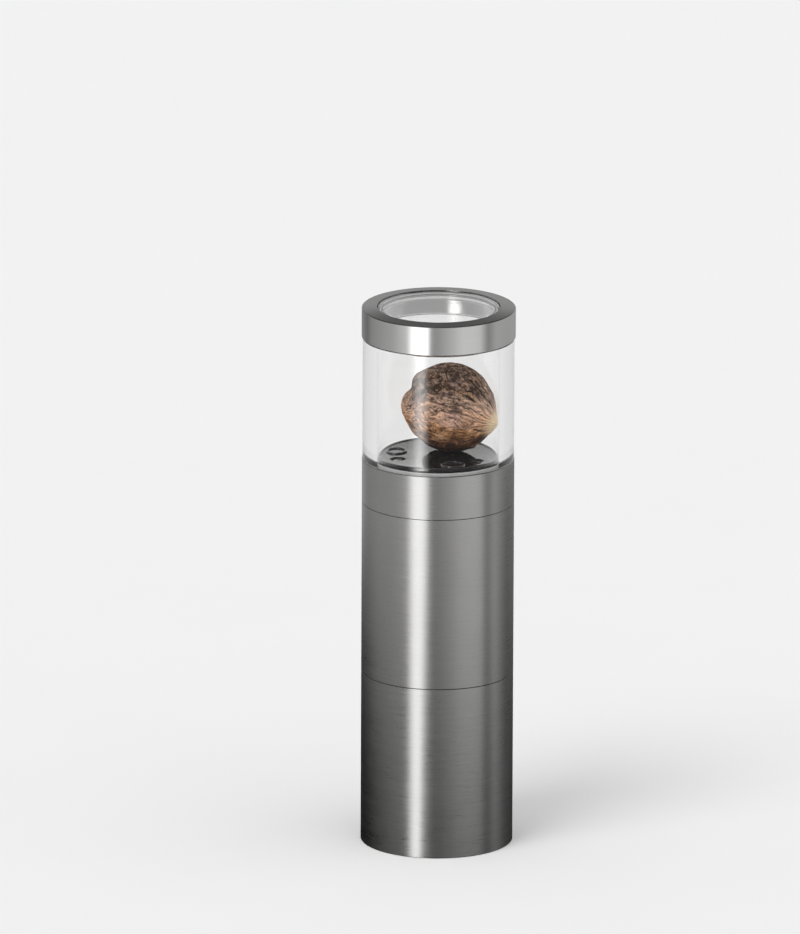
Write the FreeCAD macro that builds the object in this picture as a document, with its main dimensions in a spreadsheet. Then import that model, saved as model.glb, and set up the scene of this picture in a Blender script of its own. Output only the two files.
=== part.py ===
"""Upright twist nutmeg mill.

Three stainless sleeves stand on one axis. The lowest one is the grinding head: it carries a
serrated blade disc above a recessed mouth and turns against the body. The body holds the nutmeg
chamber. The storage unit, a clear jar on a keyed plug, pulls out of the body and carries a sprung
plunger whose pins press the nutmeg on the blade. A steel ring cap with a clear window closes the jar.

All lengths are in millimetres. The origin is the centre of the bottom rim, +Z runs up the axis
and -Y is the front.
"""
import FreeCAD, Part
import os
from types import SimpleNamespace

import Sketcher

Vector = FreeCAD.Vector

SIZES = (
    # sleeves and the levels they set
    ("body_radius", 20.0, "outer radius of the steel sleeves"),
    ("sleeve_wall", 0.9, "wall of the steel sleeves"),
    ("rim_round", 0.15, "rounding of the sleeve rims"),
    ("lower_height", 46.0, "height of the lower sleeve"),
    ("turn_gap", 0.3, "visible seam between the turning head and the body"),
    ("middle_height", 45.85, "height of the middle sleeve"),
    ("joint_gap", 0.25, "visible seam between the body and the storage unit"),
    ("collar_height", 11.6, "height of the collar sleeve"),
    ("jar_height", 32.7, "height of clear wall between the collar and the cap"),
    ("cap_gap", 0.2, "seam under the cap ring"),
    ("cap_height", 8.1, "height of the cap ring"),
    # clearances
    ("seat_fit", 0.05, "clearance of a piece pressed or clipped on its seat"),
    ("run_fit", 0.08, "radial running clearance of a shaft or spigot"),
    ("slide_fit", 0.25, "radial clearance of a plug in its socket"),
    ("stop_gap", 0.3, "axial clearance between two units at their stop"),
    # grinding head
    ("liner_rise", 0.6, "height of the liner's foot above the steel rim"),
    ("liner_drop", 1.1, "depth of a liner's top below its sleeve's top"),
    ("mouth_wall", 2.25, "width of the liner's foot between the sleeve and the mouth"),
    ("mouth_depth", 7.0, "depth of the blade's underside above the rim"),
    ("mouth_bevel", 0.4, "bevel round the mouth"),
    ("blade_ledge", 1.2, "width of the ledge between the mouth and the blade's seat"),
    ("blade_gauge", 0.6, "sheet thickness of the blade disc"),
    ("tab_width", 3.0, "width of the blade's tabs and of the key ribs"),
    ("slot_start", 1.2, "distance of each slot's inner end from the axis"),
    ("slot_margin", 1.0, "distance of each slot's outer end from the blade ring"),
    ("slot_width", 3.4, "width of each slot"),
    ("lip_lean", 2.1, "distance that each lip reaches over its slot"),
    ("lip_rise", 1.7, "height of each lip's edge above the disc"),
    ("tooth_pitch", 1.2, "pitch of the teeth on each lip"),
    ("tooth_depth", 0.8, "depth of the gaps between the teeth"),
    ("chamber_wall", 1.6, "wall of the chamber tube in the head"),
    ("liner_wall", 1.95, "outer wall of the head's liner"),
    ("web", 2.0, "thickness of the plastic webs and floors"),
    ("ring_height", 3.75, "height of the blade ring"),
    ("ring_wall", 1.15, "wall of the blade ring at its foot"),
    ("ring_ledge", 3.75, "width of the blade ring's ledge under the blade"),
    ("snap_reach", 0.4, "reach of the blade ring's snap bead"),
    ("seat_wall", 1.15, "wall of the liner round the bearing ring"),
    ("bearing_wall", 2.37, "wall of the bearing ring"),
    ("spigot_wall", 1.9, "wall of the spigot that turns in the bearing ring"),
    ("bearing_height", 4.4, "height of the bearing ring"),
    ("washer_gauge", 1.5, "thickness of the glide washer"),
    ("snap_ring_reach", 0.5, "reach of the snap ring beyond its spigot"),
    ("snap_ring_width", 1.1, "width of the snap ring"),
    ("snap_ring_gauge", 1.3, "thickness of the snap ring"),
    ("snap_ring_split", 4.0, "width of the gap in the snap ring"),
    ("spigot_lip", 1.4, "plastic left below the snap ring's groove"),
    # body and storage plug
    ("body_wall", 1.55, "outer wall of the body's liner"),
    ("socket_wall", 1.85, "wall of the socket for the storage plug"),
    ("socket_depth", 23.0, "depth of the socket"),
    ("key_reach", 1.0, "reach of the key ribs beyond the plug"),
    ("key_margin", 2.4, "distance between the key ribs and the O-ring's groove"),
    ("key_play", 0.15, "side clearance of a key rib in its slot"),
    ("groove_wall", 0.75, "wall of the storage plug behind the O-ring"),
    ("plug_gap", 2.0, "space between the plug's foot and the socket's floor"),
    ("skirt_height", 4.0, "height of the plug's skirt under its partition"),
    ("partition", 3.0, "thickness of the plug's partition"),
    ("seal_section", 1.4, "section of the plug's O-ring"),
    ("seal_drop", 3.4, "distance of the O-ring below the plug's flange"),
    ("shoulder_drop", 5.0, "depth of the core's shoulder below the jar's foot"),
    ("neck_height", 3.0, "height of the core's neck"),
    ("post_circle", 11.4, "distance of the screw posts from the axis"),
    ("post_radius", 2.6, "radius of the screw posts"),
    ("screw_radius", 0.85, "radius of the floor screws' shanks"),
    ("screw_length", 8.5, "length of the floor screws under their heads"),
    ("screw_head", 1.6, "radius of the floor screws' heads"),
    ("screw_head_height", 1.0, "height of the floor screws' heads"),
    ("screw_sink", 1.2, "depth of the screws' recesses in the floor plate"),
    ("screw_play", 0.35, "radial clearance of the screws' heads in their recesses"),
    ("screw_slot", 0.4, "width and depth of the screw heads' slots"),
    # jar
    ("jar_set", 0.1, "distance of the jar's wall inside the sleeves' surface"),
    ("jar_wall", 3.9, "wall of the jar"),
    ("neck_play", 0.7, "radial clearance of the jar's neck in the cap"),
    ("gasket_gauge", 0.7, "thickness of the jar gasket"),
    ("plate_gauge", 3.15, "thickness of the floor plate"),
    ("plate_flange", 0.95, "thickness of the floor plate's flange"),
    ("plate_flange_reach", 1.3, "reach of the floor plate's flange over its sealing ring"),
    ("boss_radius", 3.0, "outer radius of the plate's ring bosses"),
    ("boss_bore", 2.3, "inner radius of the plate's ring bosses"),
    ("boss_height", 0.4, "height of the plate's ring bosses"),
    ("nutmeg_length", 25.6, "length of the stored nutmeg"),
    ("nutmeg_width", 21.2, "width of the stored nutmeg"),
    ("nutmeg_height", 23.4, "height of the stored nutmeg"),
    ("nutmeg_play", 0.1, "distance of the stored nutmeg from the jar's wall, on the right"),
    ("nutmeg_back_play", 2.4, "distance of the stored nutmeg from the jar's wall, behind"),
    # plunger
    ("rod_radius", 4.0, "radius of the plunger's rod"),
    ("bush_wall", 2.0, "wall of the guide bush"),
    ("bush_flange", 1.5, "reach of the guide bush's flange beyond the spring"),
    ("bush_flange_gauge", 1.2, "thickness of the guide bush's flange"),
    ("bush_rise", 0.6, "height of the bush above the partition"),
    ("plate_play", 0.9, "radial clearance of the press plate in the chamber"),
    ("plate_height", 4.5, "height of the press plate"),
    ("hub_play", 0.4, "radial clearance of the press plate's hub in the spring"),
    ("hub_height", 2.5, "height of the hub on the press plate"),
    ("rod_step", 1.5, "step from the rod to its foot in the press plate"),
    ("pin_inset", 4.1, "distance of the press pins from the plate's edge"),
    ("pin_gap", 5.2, "distance of the pins' points above the blade's lips, at rest"),
    ("pin_radius", 0.7, "radius of the press pins"),
    ("pin_reach", 4.0, "length of the press pins below the plate"),
    ("pin_point", 1.8, "length of the press pins' points"),
    ("pin_seat", 2.2, "depth of the press pins in the plate"),
    ("stop_reach", 1.8, "reach of the stop washer beyond the rod"),
    ("stop_gauge", 1.0, "thickness of the stop washer"),
    ("stop_screw_radius", 1.5, "radius of the stop screw's shank"),
    ("stop_screw_length", 9.0, "length of the stop screw in the rod"),
    ("stop_head", 2.8, "radius of the stop screw's head"),
    ("stop_head_height", 1.6, "height of the stop screw's head"),
    ("stop_socket", 1.3, "half width of the socket in the stop screw's head"),
    ("spring_play", 2.0, "radial clearance of the rod in its spring"),
    ("spring_wire", 0.5, "radius of the spring's wire"),
    ("spring_pitch", 4.0, "pitch of the spring at rest"),
    # cap
    ("cap_proud", 0.2, "reach of the cap ring beyond the sleeves' surface"),
    ("cap_wall", 1.0, "wall of the cap ring"),
    ("cap_flange", 1.4, "thickness of the cap ring's top"),
    ("cap_ledge", 4.05, "width of the cap ring's top"),
    ("cap_round", 0.6, "rounding of the cap ring's top edge"),
    ("window_sink", 0.25, "depth of the window's face below the ring's top"),
    ("window_gauge", 1.6, "thickness of the window"),
    ("window_flange_gauge", 1.25, "thickness of the window's flange"),
    ("skirt_drop", 1.8, "reach of the window's skirt below its flange"),
    ("skirt_wall", 0.65, "wall of the window's skirt"),
    ("skirt_play", 0.35, "radial clearance of the skirt in the jar"),
    ("cap_seal_gauge", 0.7, "thickness of the cap's sealing ring"),
)

PIN_COUNT = 6
KEY_COUNT = 3
POST_COUNT = 3
BOSS_TURN = -71.4
POST_TURN = -33.8
NUTMEG_TURN = -20.0


class Size:
    """A length with its value and the expression that ties it to the spreadsheet."""

    def __init__(self, value, text):
        self.value = value
        self.text = text

    def __add__(self, other):
        other = as_size(other)
        return Size(self.value + other.value, f"({self.text} + {other.text})")

    def __sub__(self, other):
        other = as_size(other)
        return Size(self.value - other.value, f"({self.text} - {other.text})")

    def __mul__(self, other):
        other = as_size(other)
        return Size(self.value * other.value, f"({self.text} * {other.text})")

    def __truediv__(self, other):
        other = as_size(other)
        return Size(self.value / other.value, f"({self.text} / {other.text})")

    def __neg__(self):
        return Size(-self.value, f"(0 - {self.text})")


def as_size(number):
    """Returns a plain number as a size, and a size as it is."""
    if isinstance(number, Size):
        return number
    return Size(float(number), repr(float(number)))


def fill_sheet(document):
    """Writes the driving dimensions in the spreadsheet and returns them as sizes."""
    sheet = document.addObject("Spreadsheet::Sheet", "Sizes")
    sizes = SimpleNamespace()
    for row, (alias, value, meaning) in enumerate(SIZES, 1):
        sheet.set(f"A{row}", meaning)
        sheet.set(f"B{row}", str(value))
        sheet.setAlias(f"B{row}", alias)
        setattr(sizes, alias, Size(value, f"Sizes.{alias}"))
    document.recompute()
    return sizes


doc = FreeCAD.newDocument("nutmeg_mill")
s = fill_sheet(doc)

# ---- levels and radii that several pieces share ----
turn_level = s.lower_height
middle_level = turn_level + s.turn_gap
joint_level = middle_level + s.middle_height
collar_level = joint_level + s.joint_gap
jar_level = collar_level + s.collar_height
jar_top = jar_level + s.jar_height
cap_level = jar_top + s.cap_gap
top_level = cap_level + s.cap_height

sleeve_bore = s.body_radius - s.sleeve_wall
core_radius = sleeve_bore - s.seat_fit

head_top = turn_level - s.liner_drop
mouth_radius = core_radius - s.mouth_wall
blade_radius = mouth_radius - s.blade_ledge
blade_top = s.mouth_depth + s.blade_gauge
blade_ring_bore = mouth_radius - s.seat_fit - s.ring_ledge
bearing_radius = core_radius - s.seat_wall - s.seat_fit
bearing_bore = bearing_radius - s.bearing_wall
spigot_radius = bearing_bore - s.run_fit
chamber_radius = spigot_radius - s.spigot_wall
bearing_level = head_top - s.bearing_height
washer_level = head_top + s.seat_fit
body_level = washer_level + s.washer_gauge + s.stop_gap / 2
snap_ring_top = bearing_level - s.stop_gap
snap_ring_level = snap_ring_top - s.snap_ring_gauge
snap_ring_bore = spigot_radius + s.snap_ring_reach - s.snap_ring_width
spigot_level = snap_ring_level - s.seat_fit - s.spigot_lip

body_top = joint_level - s.liner_drop
socket_level = body_top - s.socket_depth
socket_radius = core_radius - s.socket_wall
plug_radius = socket_radius - s.slide_fit
plug_level = socket_level + s.plug_gap
key_radius = plug_radius + s.key_reach
flange_level = body_top + s.stop_gap
partition_level = plug_level + s.skirt_height
partition_top = partition_level + s.partition
seal_groove_radius = plug_radius - s.seal_section
seal_groove_top = flange_level - s.seal_drop
seal_groove_level = seal_groove_top - s.seal_section - s.seat_fit * 2
plug_bore = seal_groove_radius - s.groove_wall
shoulder_level = jar_level - s.shoulder_drop
core_top = shoulder_level + s.neck_height
jar_radius = s.body_radius - s.jar_set
jar_bore = jar_radius - s.jar_wall
neck_radius = jar_bore - s.seat_fit * 2
post_hole = s.screw_radius + s.seat_fit

floor_plate_level = core_top + s.seat_fit
floor_plate_top = floor_plate_level + s.plate_gauge
floor_flange_level = floor_plate_top - s.plate_flange
floor_plate_radius = neck_radius - s.seat_fit
floor_hub_radius = floor_plate_radius - s.plate_flange_reach
screw_head_level = floor_plate_top - s.screw_sink + s.seat_fit
screw_head_top = screw_head_level + s.screw_head_height

plate_level = blade_top + s.lip_rise + s.pin_gap + s.pin_reach
plate_top = plate_level + s.plate_height
plate_radius = chamber_radius - s.plate_play
pin_circle = plate_radius - s.pin_inset
spring_radius = s.rod_radius + s.spring_play + s.spring_wire
hub_radius = spring_radius - s.spring_wire - s.hub_play
hub_top = plate_top + s.hub_height
rod_foot_radius = s.rod_radius - s.rod_step
bush_radius = s.rod_radius + s.run_fit + s.bush_wall
bush_flange_radius = spring_radius + s.spring_wire + s.bush_flange
bush_level = partition_level - s.seat_fit - s.bush_flange_gauge
bush_top = partition_top + s.bush_rise
rod_top = bush_top + s.stop_gap / 2
stop_level = rod_top + s.seat_fit
stop_top = stop_level + s.stop_gauge

cap_radius = s.body_radius + s.cap_proud
cap_bore = cap_radius - s.cap_wall
cap_opening = cap_radius - s.cap_ledge
jar_neck_radius = cap_bore - s.neck_play
window_top = top_level - s.window_sink
window_flange_top = top_level - s.cap_flange - s.seat_fit
window_seat = window_flange_top - s.window_flange_gauge
cap_seal_top = window_seat - s.seat_fit
cap_seal_level = cap_seal_top - s.cap_seal_gauge
jar_neck_top = cap_seal_level - s.stop_gap
skirt_radius = jar_bore - s.skirt_play
skirt_level = window_seat - s.skirt_drop


# ---- modelling helpers ----
def new_body(name):
    """Starts a sub-part."""
    body = doc.addObject("PartDesign::Body", name)
    body.Label = name
    return body


def origin_feature(body, role):
    """Returns one of a body's own origin planes or axes."""
    return next(item for item in body.Origin.OriginFeatures if item.Role == role)


def new_sketch(body, name, plane, level=None, turn=0.0, turn_axis=Vector(0, 0, 1)):
    """Attaches an empty sketch to an origin plane, moved along its normal and turned."""
    sketch = body.newObject("Sketcher::SketchObject", f"{body.Name}_{name}")
    sketch.AttachmentSupport = (origin_feature(body, plane), [""])
    sketch.MapMode = "FlatFace"
    shift = as_size(0 if level is None else level)
    rotation = FreeCAD.Rotation(turn_axis, turn)
    sketch.AttachmentOffset = FreeCAD.Placement(Vector(0, 0, shift.value), rotation)
    if level is not None:
        sketch.setExpression("AttachmentOffset.Base.z", shift.text)
    return sketch


def bind(sketch, kind, geometry, point, size):
    """Sets one coordinate of a sketch point, measured from the sketch's origin."""
    size = as_size(size)
    index = sketch.addConstraint(Sketcher.Constraint(kind, -1, 1, geometry, point, size.value))
    sketch.setExpression(f"Constraints[{index}]", size.text)


def draw_polygon(sketch, points):
    """Draws a closed outline whose corners are tied to the spreadsheet."""
    first = sketch.GeometryCount
    corners = [(as_size(across), as_size(along)) for across, along in points]
    count = len(corners)
    for index, (across, along) in enumerate(corners):
        next_across, next_along = corners[(index + 1) % count]
        start = Vector(across.value, along.value, 0)
        end = Vector(next_across.value, next_along.value, 0)
        sketch.addGeometry(Part.LineSegment(start, end), False)
    for index in range(count):
        following = first + (index + 1) % count
        sketch.addConstraint(Sketcher.Constraint("Coincident", first + index, 2, following, 1))
    for index, (across, along) in enumerate(corners):
        bind(sketch, "DistanceX", first + index, 1, across)
        bind(sketch, "DistanceY", first + index, 1, along)


def draw_rectangle(sketch, left, right, low, high):
    """Draws a rectangle between two pairs of coordinates."""
    draw_polygon(sketch, ((left, low), (right, low), (right, high), (left, high)))


def draw_circle(sketch, across, along, radius):
    """Draws a circle tied to the spreadsheet."""
    across, along, radius = as_size(across), as_size(along), as_size(radius)
    centre = Vector(across.value, along.value, 0)
    index = sketch.addGeometry(Part.Circle(centre, Vector(0, 0, 1), radius.value), False)
    bind(sketch, "DistanceX", index, 3, across)
    bind(sketch, "DistanceY", index, 3, along)
    constraint = sketch.addConstraint(Sketcher.Constraint("Radius", index, radius.value))
    sketch.setExpression(f"Constraints[{constraint}]", radius.text)


def add_feature(body, kind, name, sketch):
    """Adds a sketch-based feature to a body."""
    feature = body.newObject(f"PartDesign::{kind}", f"{body.Name}_{name}")
    feature.Profile = sketch
    return feature


def turn_profile(body, points, name="turned", axis_at=None):
    """Turns a closed (radius, height) outline about the main axis, or about a parallel one."""
    sketch = new_sketch(body, f"{name}_outline", "XZ_Plane")
    draw_polygon(sketch, points)
    axis = "V_Axis"
    if axis_at is not None:
        axis_at = as_size(axis_at)
        foot = Vector(axis_at.value, 0, 0)
        line = sketch.addGeometry(Part.LineSegment(foot, foot + Vector(0, 1, 0)), True)
        for point, height in ((1, 0.0), (2, 1.0)):
            bind(sketch, "DistanceX", line, point, axis_at)
            bind(sketch, "DistanceY", line, point, height)
        axis = "Axis0"
    feature = add_feature(body, "Revolution", name, sketch)
    feature.ReferenceAxis = (sketch, [axis])
    feature.Angle = 360
    return feature


def pad(body, name, sketch, length):
    """Adds material from a sketch along its normal."""
    feature = add_feature(body, "Pad", name, sketch)
    feature.setExpression("Length", as_size(length).text)
    return feature


def pocket(body, name, sketch, length, upward=False):
    """Removes material from a sketch, against its normal or, when upward, along it."""
    feature = add_feature(body, "Pocket", name, sketch)
    feature.Reversed = upward
    feature.setExpression("Length", as_size(length).text)
    return feature


def repeat_round(body, name, features, count):
    """Repeats features evenly round the main axis."""
    pattern = body.newObject("PartDesign::PolarPattern", f"{body.Name}_{name}")
    pattern.Originals = features
    pattern.Axis = (origin_feature(body, "Z_Axis"), [""])
    pattern.Angle = 360
    pattern.Occurrences = count
    body.Tip = pattern
    return pattern


def round_rings(body, base, rings, radius):
    """Rounds the circular edges that lie at the given (radius, height) pairs."""
    doc.recompute()
    names = []
    for index, edge in enumerate(base.Shape.Edges, 1):
        curve = edge.Curve
        if not isinstance(curve, Part.Circle):
            continue
        for ring_radius, ring_height in rings:
            same_radius = abs(curve.Radius - ring_radius.value) < 1e-4
            same_height = abs(curve.Center.z - ring_height.value) < 1e-4
            if same_radius and same_height:
                names.append(f"Edge{index}")
    fillet = body.newObject("PartDesign::Fillet", f"{body.Name}_rounding")
    fillet.Base = (base, names)
    fillet.setExpression("Radius", radius.text)
    return fillet


def tube(name, inner, outer, low, high):
    """Makes a plain tube."""
    body = new_body(name)
    turn_profile(body, ((inner, low), (outer, low), (outer, high), (inner, high)))
    return body


def sleeve(name, low, high):
    """Makes one steel sleeve with rounded outer rims."""
    body = new_body(name)
    outer = s.body_radius
    points = ((sleeve_bore, low), (outer, low), (outer, high), (sleeve_bore, high))
    base = turn_profile(body, points)
    round_rings(body, base, ((outer, as_size(low)), (outer, high)), s.rim_round)
    return body


# ---- grinding head ----
def make_head_liner():
    """Plastic liner of the head: mouth, blade seat, chamber tube and bearing seat."""
    body = new_body("head_liner")
    pocket_radius = core_radius - s.liner_wall
    seat_top = blade_top + s.seat_fit
    seat_radius = blade_radius + s.seat_fit * 2
    tube_top = spigot_level - s.stop_gap
    chamber_outer = chamber_radius + s.chamber_wall
    groove_radius = mouth_radius + s.snap_reach + s.seat_fit
    bead_level = snap_bead_level()
    bevel_radius = mouth_radius + s.mouth_bevel
    turn_profile(body, (
        (core_radius, s.liner_rise),
        (core_radius, head_top),
        (bearing_radius + s.seat_fit, head_top),
        (bearing_radius + s.seat_fit, bearing_level - s.seat_fit),
        (pocket_radius, bearing_level - s.seat_fit),
        (pocket_radius, seat_top + s.web),
        (chamber_outer, seat_top + s.web),
        (chamber_outer, tube_top),
        (chamber_radius, tube_top),
        (chamber_radius, seat_top),
        (seat_radius, seat_top),
        (seat_radius, s.mouth_depth),
        (mouth_radius, s.mouth_depth),
        (mouth_radius, bead_level + s.snap_reach * 2),
        (groove_radius, bead_level + s.snap_reach),
        (groove_radius, bead_level - s.snap_reach),
        (mouth_radius, bead_level - s.snap_reach * 2),
        (mouth_radius, s.liner_rise + s.mouth_bevel),
        (bevel_radius, s.liner_rise),
    ))
    sketch = new_sketch(body, "tab_notches", "XY_Plane", s.mouth_depth)
    reach = blade_tab_reach() + s.seat_fit
    half_width = s.tab_width / 2 + s.key_play
    draw_rectangle(sketch, -reach, reach, -half_width, half_width)
    pocket(body, "tab_notch", sketch, s.blade_gauge + s.seat_fit, upward=True)


def blade_tab_reach():
    """Distance of the ends of the blade's tabs from the axis."""
    return mouth_radius - s.slide_fit


def snap_bead_level():
    """Height of the middle of the blade ring's snap bead."""
    return s.mouth_depth - s.ring_height / 2


def make_blade_disc():
    """Sheet steel disc with two tabs and two raised, toothed lips over radial slots."""
    body = new_body("blade_disc")
    sketch = new_sketch(body, "disc_outline", "XY_Plane", s.mouth_depth)
    draw_circle(sketch, 0, 0, blade_radius)
    pad(body, "disc", sketch, s.blade_gauge)
    sketch = new_sketch(body, "tabs_outline", "XY_Plane", s.mouth_depth)
    reach = blade_tab_reach()
    draw_rectangle(sketch, -reach, reach, -s.tab_width / 2, s.tab_width / 2)
    pad(body, "tabs", sketch, s.blade_gauge)
    for side, turn in (("right", 0.0), ("left", 180.0)):
        cut_toothed_slot(body, side, turn)


def cut_toothed_slot(body, side, turn):
    """Cuts one radial slot in the disc and raises a toothed lip over it."""
    bend = -s.slot_width * 0.75
    slot_end = blade_ring_bore - s.slot_margin
    slot_length = slot_end - s.slot_start
    sketch = new_sketch(body, f"slot_outline_{side}", "XY_Plane", s.mouth_depth, turn)
    draw_rectangle(sketch, s.slot_start, slot_end, bend, bend + s.slot_width)
    pocket(body, f"slot_{side}", sketch, s.blade_gauge, upward=True)

    upright = Vector(0, 1, 0)
    start = s.slot_start if turn == 0.0 else -s.slot_start
    sketch = new_sketch(body, f"lip_outline_{side}", "YZ_Plane", start, turn, upright)
    root = bend - s.blade_gauge / 4
    edge = bend + s.lip_lean
    edge_low = s.mouth_depth + s.lip_rise
    draw_polygon(sketch, (
        (root, s.mouth_depth),
        (bend, s.mouth_depth),
        (edge, edge_low),
        (edge - s.blade_gauge / 2, edge_low + s.blade_gauge * 0.9),
        (root, blade_top),
    ))
    pad(body, f"lip_{side}", sketch, slot_length)

    sketch = new_sketch(body, f"tooth_gap_outline_{side}", "XY_Plane", blade_top, turn)
    draw_polygon(sketch, (
        (s.slot_start, edge + s.tooth_depth / 4),
        (s.slot_start + s.tooth_pitch, edge + s.tooth_depth / 4),
        (s.slot_start + s.tooth_pitch / 2, edge - s.tooth_depth),
    ))
    gap = pocket(body, f"tooth_gap_{side}", sketch, s.lip_rise + s.blade_gauge, upward=True)
    pattern = body.newObject("PartDesign::LinearPattern", f"tooth_gaps_{side}")
    pattern.Originals = [gap]
    pattern.Direction = (sketch, ["H_Axis"])
    count = int(slot_length.value / s.tooth_pitch.value)
    pattern.setExpression("Length", (s.tooth_pitch * (count - 1)).text)
    pattern.Occurrences = count
    body.Tip = pattern


def make_blade_ring():
    """Black retaining ring that holds the blade up, with a stepped cone and a snap bead."""
    body = new_body("blade_ring")
    outer = mouth_radius - s.seat_fit
    foot = s.mouth_depth - s.ring_height
    ledge_top = s.mouth_depth - s.seat_fit
    inner = blade_ring_bore
    bead = snap_bead_level()
    bead_half = s.snap_reach / 2
    turn_profile(body, (
        (outer, foot),
        (outer, bead - s.snap_reach * 1.5),
        (outer + s.snap_reach, bead - bead_half),
        (outer + s.snap_reach, bead + bead_half),
        (outer, bead + s.snap_reach * 1.5),
        (outer, ledge_top),
        (inner, ledge_top),
        (inner, ledge_top - s.ring_height * 0.18),
        (inner + s.ring_ledge * 0.4, bead + bead_half),
        (inner + s.ring_ledge * 0.4, bead - bead_half),
        (outer - s.ring_wall, foot),
    ))


def make_snap_ring():
    """Split ring in the spigot's groove, under the bearing ring."""
    body = new_body("turn_retainer")
    outer = snap_ring_bore + s.snap_ring_width
    low, high = snap_ring_level, snap_ring_top
    turn_profile(body, ((snap_ring_bore, low), (outer, low), (outer, high), (snap_ring_bore, high)))
    sketch = new_sketch(body, "split_outline", "XY_Plane", low)
    half = s.snap_ring_split / 2
    draw_rectangle(sketch, -half, half, snap_ring_bore * 0.5, outer + 1.0)
    pocket(body, "split", sketch, s.snap_ring_gauge, upward=True)


def make_head():
    """All pieces of the grinding head."""
    sleeve("lower_sleeve", 0, turn_level)
    make_head_liner()
    make_blade_disc()
    make_blade_ring()
    tube("bearing_ring", bearing_bore, bearing_radius, bearing_level, head_top)
    washer_bore = spigot_radius + s.stop_gap
    washer_radius = sleeve_bore - s.stop_gap
    tube("glide_washer", washer_bore, washer_radius, washer_level, washer_level + s.washer_gauge)


# ---- body ----
def make_body_liner():
    """Plastic liner of the body: turning spigot, chamber tube and keyed plug socket."""
    body = new_body("body_liner")
    pocket_radius = core_radius - s.body_wall
    pocket_top = socket_level - s.web
    groove_radius = snap_ring_bore - s.seat_fit
    turn_profile(body, (
        (chamber_radius, spigot_level),
        (spigot_radius, spigot_level),
        (spigot_radius, snap_ring_level - s.seat_fit),
        (groove_radius, snap_ring_level - s.seat_fit),
        (groove_radius, snap_ring_top + s.seat_fit),
        (spigot_radius, snap_ring_top + s.seat_fit),
        (spigot_radius, pocket_top),
        (pocket_radius, pocket_top),
        (pocket_radius, body_level),
        (core_radius, body_level),
        (core_radius, body_top),
        (socket_radius, body_top),
        (socket_radius, socket_level),
        (chamber_radius, socket_level),
    ))
    sketch = new_sketch(body, "key_slot_outline", "XY_Plane", body_top)
    half_width = s.tab_width / 2 + s.key_play
    draw_rectangle(sketch, chamber_radius, key_radius + s.slide_fit, -half_width, half_width)
    slot = pocket(body, "key_slot", sketch, s.socket_depth)
    repeat_round(body, "key_slots", [slot], KEY_COUNT)


def make_body():
    """All pieces of the body."""
    sleeve("middle_sleeve", middle_level, joint_level)
    make_body_liner()
    make_snap_ring()


# ---- storage unit ----
def make_collar_core():
    """Plastic core of the storage unit: keyed plug, partition, neck and screw posts."""
    body = new_body("collar_core")
    flange_radius = core_radius - s.slide_fit
    turn_profile(body, (
        (bush_radius + s.seat_fit, partition_level),
        (plug_bore, partition_level),
        (plug_bore, plug_level),
        (plug_radius, plug_level),
        (plug_radius, seal_groove_level),
        (seal_groove_radius, seal_groove_level),
        (seal_groove_radius, seal_groove_top),
        (plug_radius, seal_groove_top),
        (plug_radius, flange_level),
        (flange_radius, flange_level),
        (flange_radius, collar_level),
        (core_radius, collar_level),
        (core_radius, shoulder_level),
        (neck_radius, shoulder_level),
        (neck_radius, core_top),
        (plug_bore, core_top),
        (plug_bore, partition_top),
        (bush_radius + s.seat_fit, partition_top),
    ))
    sketch = new_sketch(body, "key_outline", "XY_Plane", plug_level)
    draw_rectangle(sketch, plug_bore + s.web / 2, key_radius, -s.tab_width / 2, s.tab_width / 2)
    key = pad(body, "key", sketch, seal_groove_level - s.key_margin - plug_level)
    repeat_round(body, "keys", [key], KEY_COUNT)
    sketch = new_sketch(body, "post_outline", "XY_Plane", partition_level, POST_TURN)
    draw_circle(sketch, s.post_circle, 0, s.post_radius)
    post = pad(body, "post", sketch, core_top - partition_level)
    repeat_round(body, "posts", [post], POST_COUNT)
    sketch = new_sketch(body, "post_hole_outline", "XY_Plane", core_top, POST_TURN)
    draw_circle(sketch, s.post_circle, 0, post_hole)
    hole = pocket(body, "post_hole", sketch, s.screw_length)
    repeat_round(body, "post_holes", [hole], POST_COUNT)


def make_guide_bush():
    """Flanged bush that guides the plunger's rod and seats its spring."""
    body = new_body("guide_bush")
    bore = s.rod_radius + s.run_fit
    turn_profile(body, (
        (bore, bush_level),
        (bush_flange_radius, bush_level),
        (bush_flange_radius, bush_level + s.bush_flange_gauge),
        (bush_radius, bush_level + s.bush_flange_gauge),
        (bush_radius, bush_top),
        (bore, bush_top),
    ))


def make_plug_seal():
    """O-ring in the groove of the storage plug."""
    seal = doc.addObject("Part::Torus", "plug_seal")
    seal.Label = "plug_seal"
    section = s.seal_section / 2
    seal.setExpression("Radius2", section.text)
    centre_radius = plug_radius + s.slide_fit / 2 - section
    seal.setExpression("Radius1", centre_radius.text)
    height = seal_groove_top - s.seat_fit - section
    seal.setExpression("Placement.Base.z", height.text)


def make_jar():
    """Clear acrylic tube: thick wall, stepped neck for the cap and spigot for the collar."""
    body = new_body("jar")
    spigot_radius = sleeve_bore - s.seat_fit
    foot = shoulder_level + s.gasket_gauge + s.seat_fit * 2
    turn_profile(body, (
        (jar_bore, foot),
        (spigot_radius, foot),
        (spigot_radius, jar_level + s.seat_fit),
        (jar_radius, jar_level + s.seat_fit),
        (jar_radius, jar_top),
        (jar_neck_radius, jar_top),
        (jar_neck_radius, jar_neck_top),
        (jar_bore, jar_neck_top),
    ))


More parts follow.
